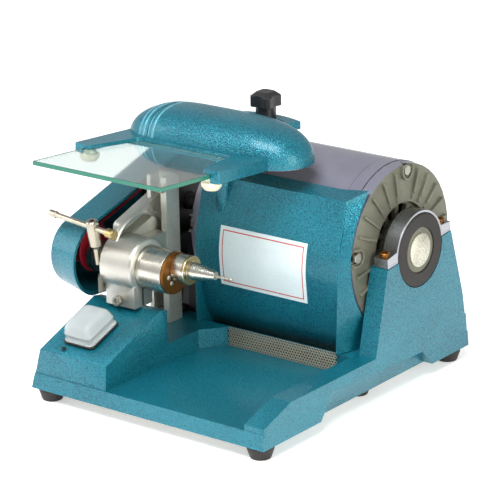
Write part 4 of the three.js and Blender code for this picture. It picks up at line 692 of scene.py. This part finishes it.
def tilted_mesh(mesh):
    """Turns a mesh drawn level onto the slope of the shield's arms."""
    pivot = at(0, PIVOT_Y, DECK)
    slope = Matrix.Rotation(ARM_SLOPE, 4, "X")
    mesh.transform(Matrix.Translation(pivot) @ slope @ Matrix.Translation(-pivot))
    return mesh


frame_plate = prism(filleted([
    (RIGHT, TIP, 2), (RIGHT, 143, 4), (RIGHT - 8.8, 150, 0), (LEFT + 8.8, 150, 0), (LEFT, 143, 4),
    (LEFT, TIP, 2), (LEFT + 16, TIP, 3), (LEFT + 27.6, 116, 3), (RIGHT - 27.6, 116, 3),
    (RIGHT - 16, TIP, 3)]), DECK - 10.5, DECK, "z")
pocket = prism(box(LEFT + 8.8, 50, RIGHT - 8.8, 121.1), DECK - 20, DECK - 3.35, "z")
pocket_top = prism(filleted([(LEFT + 15.5, 50, 0), (RIGHT - 15.5, 50, 0), (RIGHT - 27, 121.5, 6),
                             (LEFT + 27, 121.5, 6)]), DECK - 5, DECK + 5, "z")
place("shield_frame", tilted_mesh(combined("DIFFERENCE", frame_plate, pocket, pocket_top)), "lamp_hood",
      "hammered_enamel", ("hood",), 0.7)
print("shield's frame from X", LEFT, "to", RIGHT)

# %% [markdown]
# Two bosses take the post, the lug behind it has a curved slot, and the lamp has two
# sockets.

# %%
roof_boss = combined("DIFFERENCE", turned_z([(0, 198), (9, 198), (9, 222), (0, 222)], *POST),
                     turned_z([(0, 190), (5.2, 190), (5.2, 216.2), (0, 216.2)], *POST))
place("hood_boss", roof_boss, "lamp_hood", "hammered_enamel", ("hood",), 0.6)


def arc_plate(inner, outer, half_angle, low, high):
    first, last = pi / 2 - half_angle, pi / 2 + half_angle
    return prism(arc(POST, outer, first, last, 20) + arc(POST, inner, last, first, 20), low, high, "z")


lug_plate = combined("DIFFERENCE", arc_plate(33, 77, radians(23.5), 201.0, 207.8),
                     arc_plate(58.4, 65.6, radians(17), 195, 215))
place("hood_lug", lug_plate, "lamp_hood", "hammered_enamel", ("hood",), 1.2)
post_boss = turned_z([(0, 136), (4.3, 136), (5.6, 150), (7.2, 163), (7.6, 171), (7.0, 172.4), (0, 172.4)],
                     *POST)
place("post_boss", post_boss, "frame", "hammered_enamel", (), 0.4)
LAMP_X, LAMP_HALF, SOCKET = -161.4, 67, 5
for side, name in ((-1, "left"), (1, "right")):
    near = LAMP_X + side * LAMP_HALF
    socket = prism(rounded_box(162, 200.8, 176, 212, 1, 3), *sorted((near, near + side * SOCKET)))
    place(f"lamp_socket_{name}", socket, "lamp_hood", "cream_plastic", ("hood",), 0.4)
print("lamp sockets apart in mm:", 2 * LAMP_HALF)

# %% [markdown]
# ## Glass
# The plate lies under the arms' inner edges. Its ground edge is green, its faces clear.

# %%
pane = place("glass_pane", copied("glass_plate"), "lamp_hood", "clear_glass", ("glass_plate",), 0.5)
pane.data.materials.append(materials["glass_edge"])
for face in pane.data.polygons:
    face.material_index = 0 if abs(face.normal.z) > 0.7 else 1
print("glass faces on the edge:", sum(face.material_index for face in pane.data.polygons))

# %% [markdown]
# ## Belt cover
# A pressed shell whose outline is a belt's: a round rear end about the motor's axis
# and a smooth nose round the spindle, rounded over to its flat left face.

# %%
AXIS = AXIS_Y, AXIS_Z = 219.9, 117.7
REAR = 55.5
FACE, SIDE = -272.5, -237.5
SHEET, ROUND = 3, 6
STEPS, ROUND_STEPS = 4, 6


def tangent_angle(point, way):
    y, z = point[0] - AXIS_Y, point[1] - AXIS_Z
    return atan2(z, y) + way * acos(REAR / hypot(y, z))


def cover_outline(nose, radius):
    """Counter-clockwise as seen from the right: the nose's arc, then the rear one."""
    low, high = radians(252), radians(114)
    ends = arc(nose, radius, low, high, 1)
    start, end = tangent_angle(ends[0], 1), tangent_angle(ends[1], -1)
    sweep = (end - start) % (2 * pi)
    return arc(AXIS, REAR, start, start + sweep, 48) + arc(nose, radius, high, low, 32)


mouth = cover_outline((84, 104), 33.4)
back = cover_outline((88, 105), 30)


def cover_ring(step, inset):
    """The cover's outline at a step from its mouth to its back, moved inwards."""
    share = step / STEPS
    outline = [(m[0] * (1 - share) + b[0] * share, m[1] * (1 - share) + b[1] * share)
               for m, b in zip(mouth, back)]
    x = SIDE - (SIDE - FACE - ROUND) * share
    return [(x, *point) for point in (shrunk(outline, inset) if inset else outline)]


rings = [[(FACE + SHEET, *point) for point in shrunk(back, ROUND)]]
rings += [cover_ring(k, SHEET) for k in range(STEPS, -1, -1)]
rings += [cover_ring(k, 0) for k in range(STEPS + 1)]
for k in range(1, ROUND_STEPS + 1):
    turn = pi / 2 * k / ROUND_STEPS
    corner = shrunk(back, ROUND * (1 - cos(turn)))
    rings.append([(FACE + ROUND * (1 - sin(turn)), *point) for point in corner])
place("belt_cover_shell", skin(rings), "frame", "hammered_enamel", ("belt_cover",), 0.5, radians(50))
print("belt cover stations:", len(rings), "points each:", len(mouth))

# %% [markdown]
# ## Motor's ends
# The casting's face runs out almost to the rim, and the rim is painted like the
# shell. The raised ribs between the bolt bosses are copies of one bar, placed by
# geometry nodes that turn them about the X axis.

# %%
def copying(name, numbers, lay):
    """Geometry nodes that set copies of the input as lay says, realize them and paint them."""
    group = bpy.data.node_groups.new(name, "GeometryNodeTree")
    for label, kind in {"Geometry": "Geometry", **numbers, "Material": "Material"}.items():
        group.interface.new_socket(label, in_out="INPUT", socket_type="NodeSocket" + kind)
    group.interface.new_socket("Geometry", in_out="OUTPUT", socket_type="NodeSocketGeometry")
    given = wired(group, "NodeGroupInput").outputs
    count, parts, goal = lay(group, given, wired(group, "GeometryNodeInputIndex").outputs[0])
    points = wired(group, "GeometryNodePoints", {"Count": count})
    copies = wired(group, "GeometryNodeInstanceOnPoints", {"Points": points.outputs[0],
                                                           "Instance": given["Geometry"]})
    vector = wired(group, "ShaderNodeCombineXYZ", parts)
    group.links.new(vector.outputs[0], (points if goal == "Position" else copies).inputs[goal])
    real = wired(group, "GeometryNodeRealizeInstances", {0: copies.outputs[0]})
    paint = wired(group, "GeometryNodeSetMaterial", {"Geometry": real.outputs[0],
                                                     "Material": given["Material"]})
    wired(group, "NodeGroupOutput", {0: paint.outputs[0]})
    return group


def round_x(group, given, index):
    """Copies turned about the X axis, the first by First and each next one by Step more."""
    angle = maths(group, "ADD", maths(group, "MULTIPLY", index, given["Step"]), given["First"])
    return given["Count"], {"X": angle}, "Rotation"


def repeated(unit, group, **settings):
    """The unit mesh run through a geometry node group, as a plain mesh."""
    source = bpy.data.objects.new("unit", unit)
    collection.objects.link(source)
    step = source.modifiers.new("copies", "NODES")
    step.node_group = group
    for item in group.interface.items_tree:
        if item.in_out == "INPUT" and item.name in settings:
            step[item.identifier] = settings[item.name]
    source.update_tag()
    mesh = bpy.data.meshes.new_from_object(source.evaluated_get(bpy.context.evaluated_depsgraph_get()))
    bpy.data.objects.remove(source)
    return mesh


around = copying("copies_around", {"Count": "Int", "First": "Float", "Step": "Float"}, round_x)
print("node group:", around.name)

# %% [markdown]
# Each bell has five bars in a quadrant between two bosses, and a dark seam on its rim.

# %%
CENTRE = -105.0
CONE_IN, CONE_OUT, CONE_REACH = 60, 65.5, 82
FACE_RADIUS, FACE_REACH, PAINTED_FROM = 70.2, 84.6, 68.8
FIRST_RIB, FIRST_BOLT, RIB_STEP = radians(98.8), radians(83.8), radians(15)


def wide_face(side):
    """Opens a bell's cone out, so that its ribbed face reaches nearly to the rim."""
    def reshape(x, y, z):
        radius = hypot(y - AXIS_Y, z - AXIS_Z)
        reach = (x - CENTRE) * side
        if radius > CONE_IN and reach > CONE_REACH:
            wider = FACE_RADIUS / radius if radius > CONE_OUT else 1.0
            x = CENTRE + side * min(reach, FACE_REACH)
            return x, AXIS_Y + (y - AXIS_Y) * wider, AXIS_Z + (z - AXIS_Z) * wider
        return x, y, z
    return reshape


def rib_unit(side):
    """One raised bar with rounded ends, lying along Y from r 45.5 to r 66.5."""
    ends = sorted((CENTRE + side * 83.5, CENTRE + side * 87.3))
    return carried(prism(rounded_box(45.5, -1.2, 66.5, 1.2, 1.15), *ends), Vector())


def boss_unit(side):
    """A raised U round a bolt's nut, open to the rim."""
    outside = filleted([(56.5, -8.0, 7.9), (70.0, -8.0, 0), (70.0, 8.0, 0), (56.5, 8.0, 7.9)], 8)
    inside = filleted([(58.6, -5.9, 5.8), (75.0, -5.9, 0), (75.0, 5.9, 0), (58.6, 5.9, 5.8)], 8)
    low, high = sorted((CENTRE + side * 83.8, CENTRE + side * 87.6))
    boss = combined("DIFFERENCE", prism(outside, low, high), prism(inside, low - 9, high + 9))
    return carried(boss, Vector())


def onto_axis(mesh):
    """Moves a mesh drawn about the X axis at the origin onto the motor's axis."""
    mesh.transform(Matrix.Translation(at(0, AXIS_Y, AXIS_Z)))
    return mesh


for side, name in ((1, "right"), (-1, "left")):
    node = f"end_bell_{name}"
    bell = place(node + "_piece", copied(node, wide_face(side)), "frame", "bell_casting", (node,), 0.6)
    bell.data.materials.append(materials["shell_enamel"])
    for face in bell.data.polygons:
        spot = face.center / MM - CORNER
        outward = hypot(face.normal.y, face.normal.z)
        face.material_index = int(hypot(spot.y - AXIS_Y, spot.z - AXIS_Z) > PAINTED_FROM and outward > 0.6)
    quadrant = repeated(rib_unit(side), around, Count=5, First=FIRST_RIB, Step=RIB_STEP)
    bars = onto_axis(repeated(quadrant, around, Count=4, First=0.0, Step=pi / 2))
    place(f"bell_ribs_{name}", bars, "frame", "bell_casting", (), 0.5)
    bosses = onto_axis(repeated(boss_unit(side), around, Count=4, First=FIRST_BOLT, Step=pi / 2))
    place(f"bell_bosses_{name}", bosses, "frame", "bell_casting", (), 0.6)
    seam = turned_x(box(CENTRE + side * 74.4, 70.6, CENTRE + side * 75.0, 71.6), *AXIS, 96)
    place(f"bell_seam_{name}", seam, "frame", "black_metal", ())
print("bars and bosses on the two bells:", 2 * (20 + 4))

# %% [markdown]
# ## Motor cover
# The front wall runs down behind the grille, hollow below; its right cheek flares out
# to the bell's rim, and its left cheek is flat. The base's deck is open behind the
# grille to let the wall pass.

# %%
def smooth_path(points, steps=6):
    """A Catmull-Rom curve through 2-D points, its ends kept."""
    path = []
    for k in range(len(points) - 1):
        p0, p1, p2, p3 = (Vector(points[max(0, min(len(points) - 1, k + j))]) for j in (-1, 0, 1, 2))
        for step in range(steps):
            t = step / steps
            path.append(tuple(0.5 * (2 * p1 + (p2 - p0) * t + (2 * p0 - 5 * p1 + 4 * p2 - p3) * t * t
                                     + (3 * p1 - p0 - 3 * p2 + p3) * t ** 3)))
    return path + [tuple(points[-1])]


wall_front = smooth_path([(157.4, 170.4), (154.0, 153), (149.2, 136), (145.6, 122), (144.0, 108), (144.8, 94),
                          (146.8, 77), (150.9, 58), (156.6, 45), (163.3, 36), (171.4, 28)])
wall_back = smooth_path([(171.4, 30.6), (165.3, 38.2), (159.2, 46.6), (153.7, 59), (149.7, 77.5), (147.7, 94),
                         (146.9, 108), (148.2, 121), (151.8, 135), (156.2, 152), (160.5, 166.5)])
wall = [(174.8, 174.2), *wall_front, *wall_back, (172.8, 171.2)]
wall_stations = (-178, -130, -80, -32)
cover_wall = skin([[(x, *point) for point in wall] for x in wall_stations])
place("cover_wall", cover_wall, "frame", "hammered_enamel", ("motor_cover",), 0.6)
print("points round the wall's section:", len(wall))

# %% [markdown]
# The two cheeks, the pointed tip over the right one, and the base with its deck opened.

# %%
def along(path, count):
    """The same number of points on any path, evenly spaced by length."""
    lengths = [0.0]
    for a, b in zip(path, path[1:]):
        lengths.append(lengths[-1] + hypot(b[0] - a[0], b[1] - a[1]))
    points, k = [], 0
    for i in range(count):
        goal = lengths[-1] * i / (count - 1)
        while k < len(path) - 2 and lengths[k + 1] < goal:
            k += 1
        t = (goal - lengths[k]) / max(lengths[k + 1] - lengths[k], 1e-9)
        points.append((path[k][0] + (path[k + 1][0] - path[k][0]) * t,
                       path[k][1] + (path[k + 1][1] - path[k][1]) * t))
    return points


cheek_front = along(smooth_path([(157.4, 170.4), (154.6, 153), (150.1, 136), (145.8, 122), (144.1, 102),
                                 (142.7, 68), (141.8, 41.2)]), 36)
rim = arc(AXIS, 71.9, radians(150), radians(230), 10)
cheek_rear = along(smooth_path([(175.2, 177.4), (164.6, 165.0), *rim, (182.0, 50), (182.0, 41.2)]), 36)
inner_front = [(y + 2.6, z - (1.6 if z > 150 else 0)) for y, z in cheek_front]
inner_rear = [(y + 0.6, z - (0.6 if z > 150 else 0)) for y, z in cheek_rear]
lining = [[(-31.9, *first), (-20.6, *second), (-22.4, *aft), (-34.4, *fore)]
          for first, second, fore, aft in zip(cheek_front, cheek_rear, inner_front, inner_rear)]
place("cover_cheek_right", skin(lining), "frame", "hammered_enamel", ("motor_cover",), 0.4, radians(40))
tip = skin([[(-50, 174.6, 174.1), (-32, 157.5, 170.3), (-20.7, 175.1, 177.3)],
            [(-50, 174.0, 171.8), (-32, 159.5, 168.0), (-22.0, 175.6, 175.4)]])
place("cover_tip", tip, "frame", "hammered_enamel", ("motor_cover",), 0.3)
left_cheek = [(142.6, 41.1), (142.9, 75), (144.2, 108), (145.8, 122), (149.4, 136), (154.0, 153),
              (157.4, 170.4), (174.8, 174.2)]
left_cheek += arc(AXIS, 72.2, radians(124), radians(220), 20) + [(164.6, 41.1)]
place("cover_cheek_left", prism(left_cheek, -181, -178), "frame", "hammered_enamel", ("motor_cover",), 0.6)
open_deck = prism(box(148.4, 30, 196, 60), -177.8, -33)
base_copy = combined("DIFFERENCE", copied("base_casting"), open_deck)
print("cover and cheeks; the base keeps", len(base_copy.polygons), "faces")
place("base_casting_piece", base_copy, "frame", "hammered_enamel", ("base_casting",), 2.0)

# %% [markdown]
# ## Grille and label
# The grille is one tile with a six-sided hole, repeated by geometry nodes in staggered
# rows. The label is blank, with a thin red frame.

# %%
def staggered(group, given, index):
    """A grid in the XZ plane, every second row shifted by half a pitch."""
    row = maths(group, "FLOOR", maths(group, "DIVIDE", index, given["Across"]), 0)
    column = maths(group, "MODULO", index, given["Across"])
    shift = maths(group, "MULTIPLY", maths(group, "MODULO", row, 2), 0.5)
    across = maths(group, "MULTIPLY", maths(group, "ADD", column, shift), given["Pitch"])
    up = maths(group, "MULTIPLY", row, given["Rise"])
    return maths(group, "MULTIPLY", given["Across"], given["Rows"]), {"X": across, "Z": up}, "Position"


def tile(pitch, rise, hole, thick):
    """A flat six-sided tile in the XZ plane with a hole, its rim left open to meet its neighbours."""
    corners = [(pitch / 2, rise / 3), (0, rise * 2 / 3), (-pitch / 2, rise / 3), (-pitch / 2, -rise / 3),
               (0, -rise * 2 / 3), (pitch / 2, -rise / 3)]
    shape = bmesh.new()
    rows = []
    for y in (0, thick):
        rim = [shape.verts.new(Vector((x, y, z)) * MM) for x, z in corners]
        bore = [shape.verts.new(Vector((x, y, z)) * MM) for x, z in hexagon(hole, pi / 6)]
        rows.append((rim, bore))
        for k in range(6):
            face = (rim[k], rim[(k + 1) % 6], bore[(k + 1) % 6], bore[k])
            shape.faces.new(face if y == 0 else face[::-1])
    for k in range(6):
        shape.faces.new((rows[0][1][k], rows[0][1][(k + 1) % 6], rows[1][1][(k + 1) % 6], rows[1][1][k]))
    return poured(shape)


PITCH, RISE, HOLE = 2.75, 2.38, 1.08
ACROSS, ROWS = 41, 7
THICK, GRILLE_AT = 0.7, at(-146.5, 144.6, 26.2)
tiling = copying("staggered_tiles", {"Across": "Int", "Rows": "Int", "Pitch": "Float", "Rise": "Float"},
                 staggered)
holes = repeated(tile(PITCH, RISE, HOLE, THICK), tiling, Across=ACROSS, Rows=ROWS, Pitch=PITCH * MM,
                 Rise=RISE * MM)
sheet = bmesh.new()
sheet.from_mesh(holes)
bmesh.ops.remove_doubles(sheet, verts=sheet.verts, dist=2e-5)
for vertex in sheet.verts:
    vertex.co += GRILLE_AT
bmesh.ops.bridge_loops(sheet, edges=[edge for edge in sheet.edges if edge.is_boundary])
bmesh.ops.recalc_face_normals(sheet, faces=sheet.faces)
holes.clear_geometry()
sheet.to_mesh(holes)
sheet.free()
place("grille_sheet", holes, "frame", "grille_steel", ("vent_grille",))
# A near-black sheet just behind the grille is painted shade that darkens its holes.
behind = prism(box(146.4, 25, 147.2, 40.4), -146.4, -35.4)
place("grille_painted_shade", behind, "frame", "painted_shade_black", ("vent_grille",))
print("grille holes:", ACROSS * ROWS)

# %% [markdown]
# The label and its line are thin sheets that follow the cover's front.

# %%
def cover_front(z):
    """Y of the cover's front at a height."""
    for (y0, z0), (y1, z1) in zip(wall_front, wall_front[1:]):
        if z1 <= z <= z0:
            return y0 + (y1 - y0) * (z - z0) / (z1 - z0)
    raise ValueError(f"the cover's front doesn't reach {z}")


def patch(x0, x1, z0, z1, low, high, columns=2, rows=16):
    """A thin sheet that follows the cover's front between two heights, from low to high off it."""
    heights = [z0 + (z1 - z0) * k / rows for k in range(rows + 1)]
    section = [(cover_front(z) - high, z) for z in heights]
    section += [(cover_front(z) - low, z) for z in heights[::-1]]
    return skin([[(x0 + (x1 - x0) * k / columns, *point) for point in section] for k in range(columns + 1)])


x0, x1, z0, z1 = -155.0, -64.0, 79.0, 131.0
LINE_IN, LINE_OUT, LINE = 3, 3.9, (0.3, 0.42)
place("label_sheet", patch(x0, x1, z0, z1, 0.0, 0.35), "frame", "label_white", ("label_plate",))
line = merged(patch(x0 + LINE_IN, x1 - LINE_IN, z0 + LINE_IN, z0 + LINE_OUT, *LINE, 2, 2),
              patch(x0 + LINE_IN, x1 - LINE_IN, z1 - LINE_OUT, z1 - LINE_IN, *LINE, 2, 2),
              patch(x0 + LINE_IN, x0 + LINE_OUT, z0 + LINE_OUT, z1 - LINE_OUT, *LINE),
              patch(x1 - LINE_OUT, x1 - LINE_IN, z0 + LINE_OUT, z1 - LINE_OUT, *LINE))
place("label_line", line, "frame", "label_red", ("label_plate",))
print("label in mm:", x1 - x0, "by", z1 - z0)

# %% [markdown]
# ## Straps and their screws
# Each strap's ears stand on the pedestals as solid blocks, on the line that splits the
# ring, with a bronze socket screw through each.

# %%
SPLIT = radians(5.8)
STRAP_IN, STRAP_OUT, RING, SCREW_OUT = 90.2, 103.6, 33.4, 40.6
EAR_NEAR, EAR_FAR, EAR_FOOT, EAR_LOW, EAR_HIGH, SEAT = 30, 46.6, 0.1, 8.6, 10.4, 9.0


def on_split(along_split, above):
    """A (y, z) place given along the split line and square to it, from the motor's axis."""
    return (AXIS_Y + along_split * cos(SPLIT) - above * sin(SPLIT),
            AXIS_Z + along_split * sin(SPLIT) + above * cos(SPLIT))


def on_normal(head, base, normal):
    """Seats a head drawn upright at the corner on its base, pointing along normal."""
    turn = Vector((0, 0, 1)).rotation_difference(Vector(normal)).to_matrix().to_4x4()
    return carried(head, at(*base), turn)


def socket_screw(radius, height, hole, base, normal, round_top=0.6):
    """A socket head screw whose seat is at base."""
    head = turned_z([(0, 0), (radius, 0), (radius, height - round_top), (radius - round_top, height),
                     (0, height)], 0, 0, 32)
    key = prism(hexagon(hole), height * 0.35, height + 3, "z")
    return on_normal(combined("DIFFERENCE", head, key), base, normal)


for side, name in ((1, "right"), (-1, "left")):
    low, high = sorted((CENTRE + side * STRAP_IN, CENTRE + side * STRAP_OUT))
    ring_space = turned_x(box(low - 2, 0, high + 2, RING), *AXIS)
    for way, end in ((-1, "front"), (1, "rear")):
        near, far = EAR_NEAR * way, EAR_FAR * way
        corners = [on_split(*spot) for spot in ((near, EAR_FOOT), (far, EAR_FOOT), (far, EAR_LOW),
                                                (near, EAR_HIGH))]
        ear = combined("DIFFERENCE", prism(corners, low, high), ring_space)
        place(f"strap_ear_{name}_{end}", ear, "frame", "polished_chrome", (f"clamp_strap_{name}",), 0.6)
        spot = on_split(SCREW_OUT * way, SEAT)
        head = socket_screw(4.1, 3.2, 1.9, ((low + high) / 2, *spot), (0, -sin(SPLIT), cos(SPLIT)))
        stands = (f"strap_screw_{end}",) if side > 0 else ()
        place(f"strap_screw_{name}_{end}", head, "frame", "dark_bronze", stands, 0.2)
hub = turned_x([(-1.6, 0), (-1.6, 14.5), (-0.7, 14.5), (-0.35, 13.9), (-0.35, 0)], *AXIS)
place("hub_stipple", hub, "frame", "silver_foil", ("hub_cap",))
print("ears from the motor's axis, in mm:", EAR_NEAR, "to", EAR_FAR)

# %% [markdown]
# ## Spindle
# The nose carries a brass collar, the collet is slit, the end cap has two cross-head
# screws, and the tee bar has a thick left end and a brass cap with a hole.

# %%
NOSE = NOSE_Y, NOSE_Z = 89.1, 109.4
collar = turned_x([(-143.2, 8), (-143.2, 12.1), (-142.7, 12.6), (-141.1, 12.6), (-140.3, 11.9), (-140.3, 8)],
                  *NOSE)
notch = prism(box(NOSE_Y - 13.5, NOSE_Z - 1.6, NOSE_Y - 9.5, NOSE_Z + 1.6), -143.5, -139)
place("nose_collar", combined("DIFFERENCE", collar, notch), "spindle", "brass", (), 0.2)
cone = turned_x([(-144, 0), (-144, 7.2), (-138.5, 7.5), (-134.2, 7.5), (-133.4, 7.2), (-132.4, 7.2),
                 (-118.0, 4.1), (-115.4, 3.6), (-115.0, 3.2), (-115.0, 1.3), (-121, 1.3), (-121, 0)], *NOSE)
slits = []
for k in range(3):
    turn = Matrix.Rotation(pi / 3 * k + 0.35, 4, "X")
    slits.append(carried(prism(box(-9, -0.22, 9, 0.22), -125, -110), at(0, *NOSE), turn))
place("collet_piece", combined("DIFFERENCE", cone, *slits), "spindle", "machined_steel", ("collet",), 0.15)
shank = turned_x([(-121, 0), (-121, 1.18), (-106.5, 1.18), (-105.6, 0.75), (-103.6, 0.75), (-102.9, 1.15),
                  (-99.4, 1.15), (-98.2, 0.5), (-98.1, 0)], *NOSE, 32)
place("bur_piece", shank, "spindle", "warm_steel", ("bur",))
print("collet slits:", len(slits))

# %% [markdown]
# A cross-head screw is drawn upright and then seated on a face by its normal.

# %%
def cross_screw(radius, height, base, normal):
    """A round-head screw with a cross cut in it."""
    head = turned_z([(0, 0), (radius, 0), (radius, height * 0.3), (radius * 0.85, height * 0.7),
                     (radius * 0.5, height * 0.95), (0, height)], 0, 0, 28)
    arm, thin = radius * 0.6, radius * 0.08
    cuts = [prism(box(-a, -b, a, b), height * 0.75, height + 2, "z") for a, b in ((arm, thin), (thin, arm))]
    return on_normal(combined("DIFFERENCE", head, *cuts), base, normal)


for k, (y, z) in enumerate(((75.4, 104.0), (78.9, 98.3))):
    place(f"cap_screw_{k + 1}", cross_screw(2.1, 1.1, (-154.3, y, z), (1, 0, 0)), "frame", "zinc_plate")
print("cap screws: 2")

# %% [markdown]
# The web behind the housing is a plate with a slanted rim along its top, and an arched
# rim round a darker face.

# %%
ARCH = (103.5, 108)
web_plate = filleted([(84, 112, 2), (139, 112, 2), (139, 156, 3), (84, 137.6, 6)], 5)
web_rim = filleted([(84, 133, 1), (139, 151.5, 1), (139, 156.4, 1), (84, 138, 2)], 3)
web_arch = [(-213, 33), (-208, 33), (-207.2, 33.8), (-207.2, 35.6), (-208, 36.4), (-213, 36.4)]
place("web_plate", prism(web_plate, -221.3, -212.4), "frame", "cast_aluminium", (), 0.7)
place("web_rim", prism(web_rim, -213, -208.2), "frame", "satin_steel", (), 0.7)
place("web_arch", turned_x(web_arch, *ARCH, 96), "frame", "satin_steel", (), 0.7)
place("web_face", turned_x(box(-213.5, 0, -211, 34), *ARCH, 96), "frame", "bell_casting", (), 0.7)
screw = socket_screw(2.9, 2.2, 1.5, (-198.4, 124.0, 160.5), (0, -1, 0))
place("column_screw", screw, "frame", "warm_steel", (), 0.1)
print("arch of the web at", ARCH)

# %% [markdown]
# The tee handle leans, and its bar points forward at its right end. A red flange stands
# on the pulley behind it.

# %%
LEAN, YAW = Matrix.Rotation(radians(9.7), 4, "X"), Matrix.Rotation(radians(-8.5), 4, "Z")
FOOT, CORNER_AT = at(-223.5, 67, 106), at(0, 0, 0)
POST_TOP, BAR_UP, BAR_LEFT, BAR_RIGHT = 40, 33.5, -55, 27.4
post = turned_z([(0, 0), (3.1, 0), (3.1, 14.4), (5.25, 17.4), (5.25, 39.2), (4.5, POST_TOP), (0, POST_TOP)],
                0, 0, 40)
key = prism(hexagon(2.4), 36.6, 44, "z")
across = carried(turned_x(box(-8, 0, 8, 2.5), 0, BAR_UP, 24), CORNER_AT, YAW)
post = combined("DIFFERENCE", post, key, across)
place("tee_post", carried(post, FOOT, LEAN), "tee_handle", "warm_steel", ("handle_post",), 0.2)
bar = turned_x([(BAR_LEFT, 0), (BAR_LEFT, 2.7), (-54.5, 3.1), (-46.5, 3.1), (-46.0, 2.4), (18.9, 2.4),
                (18.9, 0)], 0, BAR_UP, 32)
cap = turned_x([(18.5, 0), (18.5, 3.6), (19.1, 4.2), (26.8, 4.2), (BAR_RIGHT, 3.7), (BAR_RIGHT, 0)],
               0, BAR_UP, 32)
hole = turned_z([(0, 20), (1.1, 20), (1.1, 50), (0, 50)], 23.2, 0, 16)
cap = combined("DIFFERENCE", cap, hole)
for mesh, name, finish_name in ((bar, "tee_rod", "warm_steel"), (cap, "tee_cap", "brass")):
    turned = carried(carried(mesh, CORNER_AT, YAW), FOOT, LEAN)
    place(name, turned, "tee_bar", finish_name, ("handle_bar",), 0.2)
flange = turned_x([(-247.8, 6.2), (-247.8, 19.6), (-247.2, 20.2), (-246.0, 20.2), (-245.6, 19.6),
                   (-245.6, 6.2)], *NOSE)
place("pulley_flange", flange, "spindle", "belt_red", (), 0.2)
print("tee bar in mm:", BAR_RIGHT - BAR_LEFT)

# %% [markdown]
# ## Switch
# A milky boot with two rings moulded round it stands on a black gasket.

# %%
FRONT_TOP, RIDGE_TOP, RIDGE_Y = 45.5, 72.6, 74.5
SLOPE = atan2(RIDGE_TOP - FRONT_TOP, RIDGE_Y)
BOOT_X, BOOT_Y = -205, 33.5
BOOT_Z = FRONT_TOP + BOOT_Y * tan(SLOPE)


def on_slope(across, up_slope, off):
    """A place on the console, from the switch's centre: across, up the slope and off it."""
    return (BOOT_X + across, BOOT_Y + up_slope * cos(SLOPE) - off * sin(SLOPE),
            BOOT_Z + up_slope * sin(SLOPE) + off * cos(SLOPE))


def boot_ring(width, length, off, crown):
    outline = rounded_box(-width / 2, -length / 2, width / 2, length / 2, 4.2)
    return [on_slope(a, b, off - crown * (2 * b / length) ** 2) for a, b in outline]


levels = [(31.0, 37.0, 1.6), (31.4, 37.4, 2.3), (30.8, 36.8, 3.0), (29.6, 35.6, 3.3), (29.0, 35.0, 7.6),
          (29.7, 35.7, 8.0), (29.7, 35.7, 9.0), (28.9, 34.9, 9.4), (27.4, 33.2, 14.2), (25.6, 31.2, 16.6),
          (22.8, 28.2, 18.3), (18.0, 22.0, 19.3), (9.0, 11.0, 19.9)]
THIN, CROWN_FROM, CROWN = 1.2, 12, 0.9
outside, inside = [], []
for width, length, height in levels:
    high = height > CROWN_FROM
    crown = CROWN if high else 0
    outside.append(boot_ring(width, length, height, crown))
    inside.append(boot_ring(width - 2 * THIN, length - 2 * THIN, height - (THIN if high else 0), crown))
boot_mesh = skin(inside[::-1] + outside)
place("boot_skin", boot_mesh, "frame", "milky_silicone", ("switch_boot",), angle=radians(60))
gasket = rounded_box(-16.4, -19.4, 16.4, 19.4, 4)
gasket = skin([[on_slope(a, b, h) for a, b in gasket] for h in (0.1, 1.5)])
place("gasket_piece", gasket, "frame", "black_rubber", ("switch_gasket",), 0.4)
screw = socket_screw(2.0, 0.9, 1.0, (-214.8, 9.5, 48.9), (0, -sin(SLOPE), cos(SLOPE)), 0.3)
place("console_screw", screw, "frame", "black_metal", (), 0.1)
print("slope of the console in degrees:", round(SLOPE / pi * 180, 1))

# %% [markdown]
# ## Bead
# A red rubber bead runs under the hood's rim.

# %%
BEAD, BEAD_IN = 0.5, 1.6
bead_rings = []
for angle in circle_steps(72):
    c, s = cos(angle), sin(angle)
    x = DOME_X + (DOME_LENGTH - BEAD_IN) * c
    side = 0 if abs(s) < 1e-6 else copysign(1, s)
    y = DOME_Y + (DOME_DEPTH - BEAD_IN) * dome_share(c * 0.995) * side
    bead_rings.append([(x + BEAD * cos(t) * c, y + BEAD * cos(t) * s, DOME_BOTTOM - 0.1 + BEAD * sin(t))
                       for t in circle_steps(8)])
place("hood_bead", skin(bead_rings, wrap=True), "lamp_hood", "belt_red")
print("bead's points:", len(bead_rings) * 8)
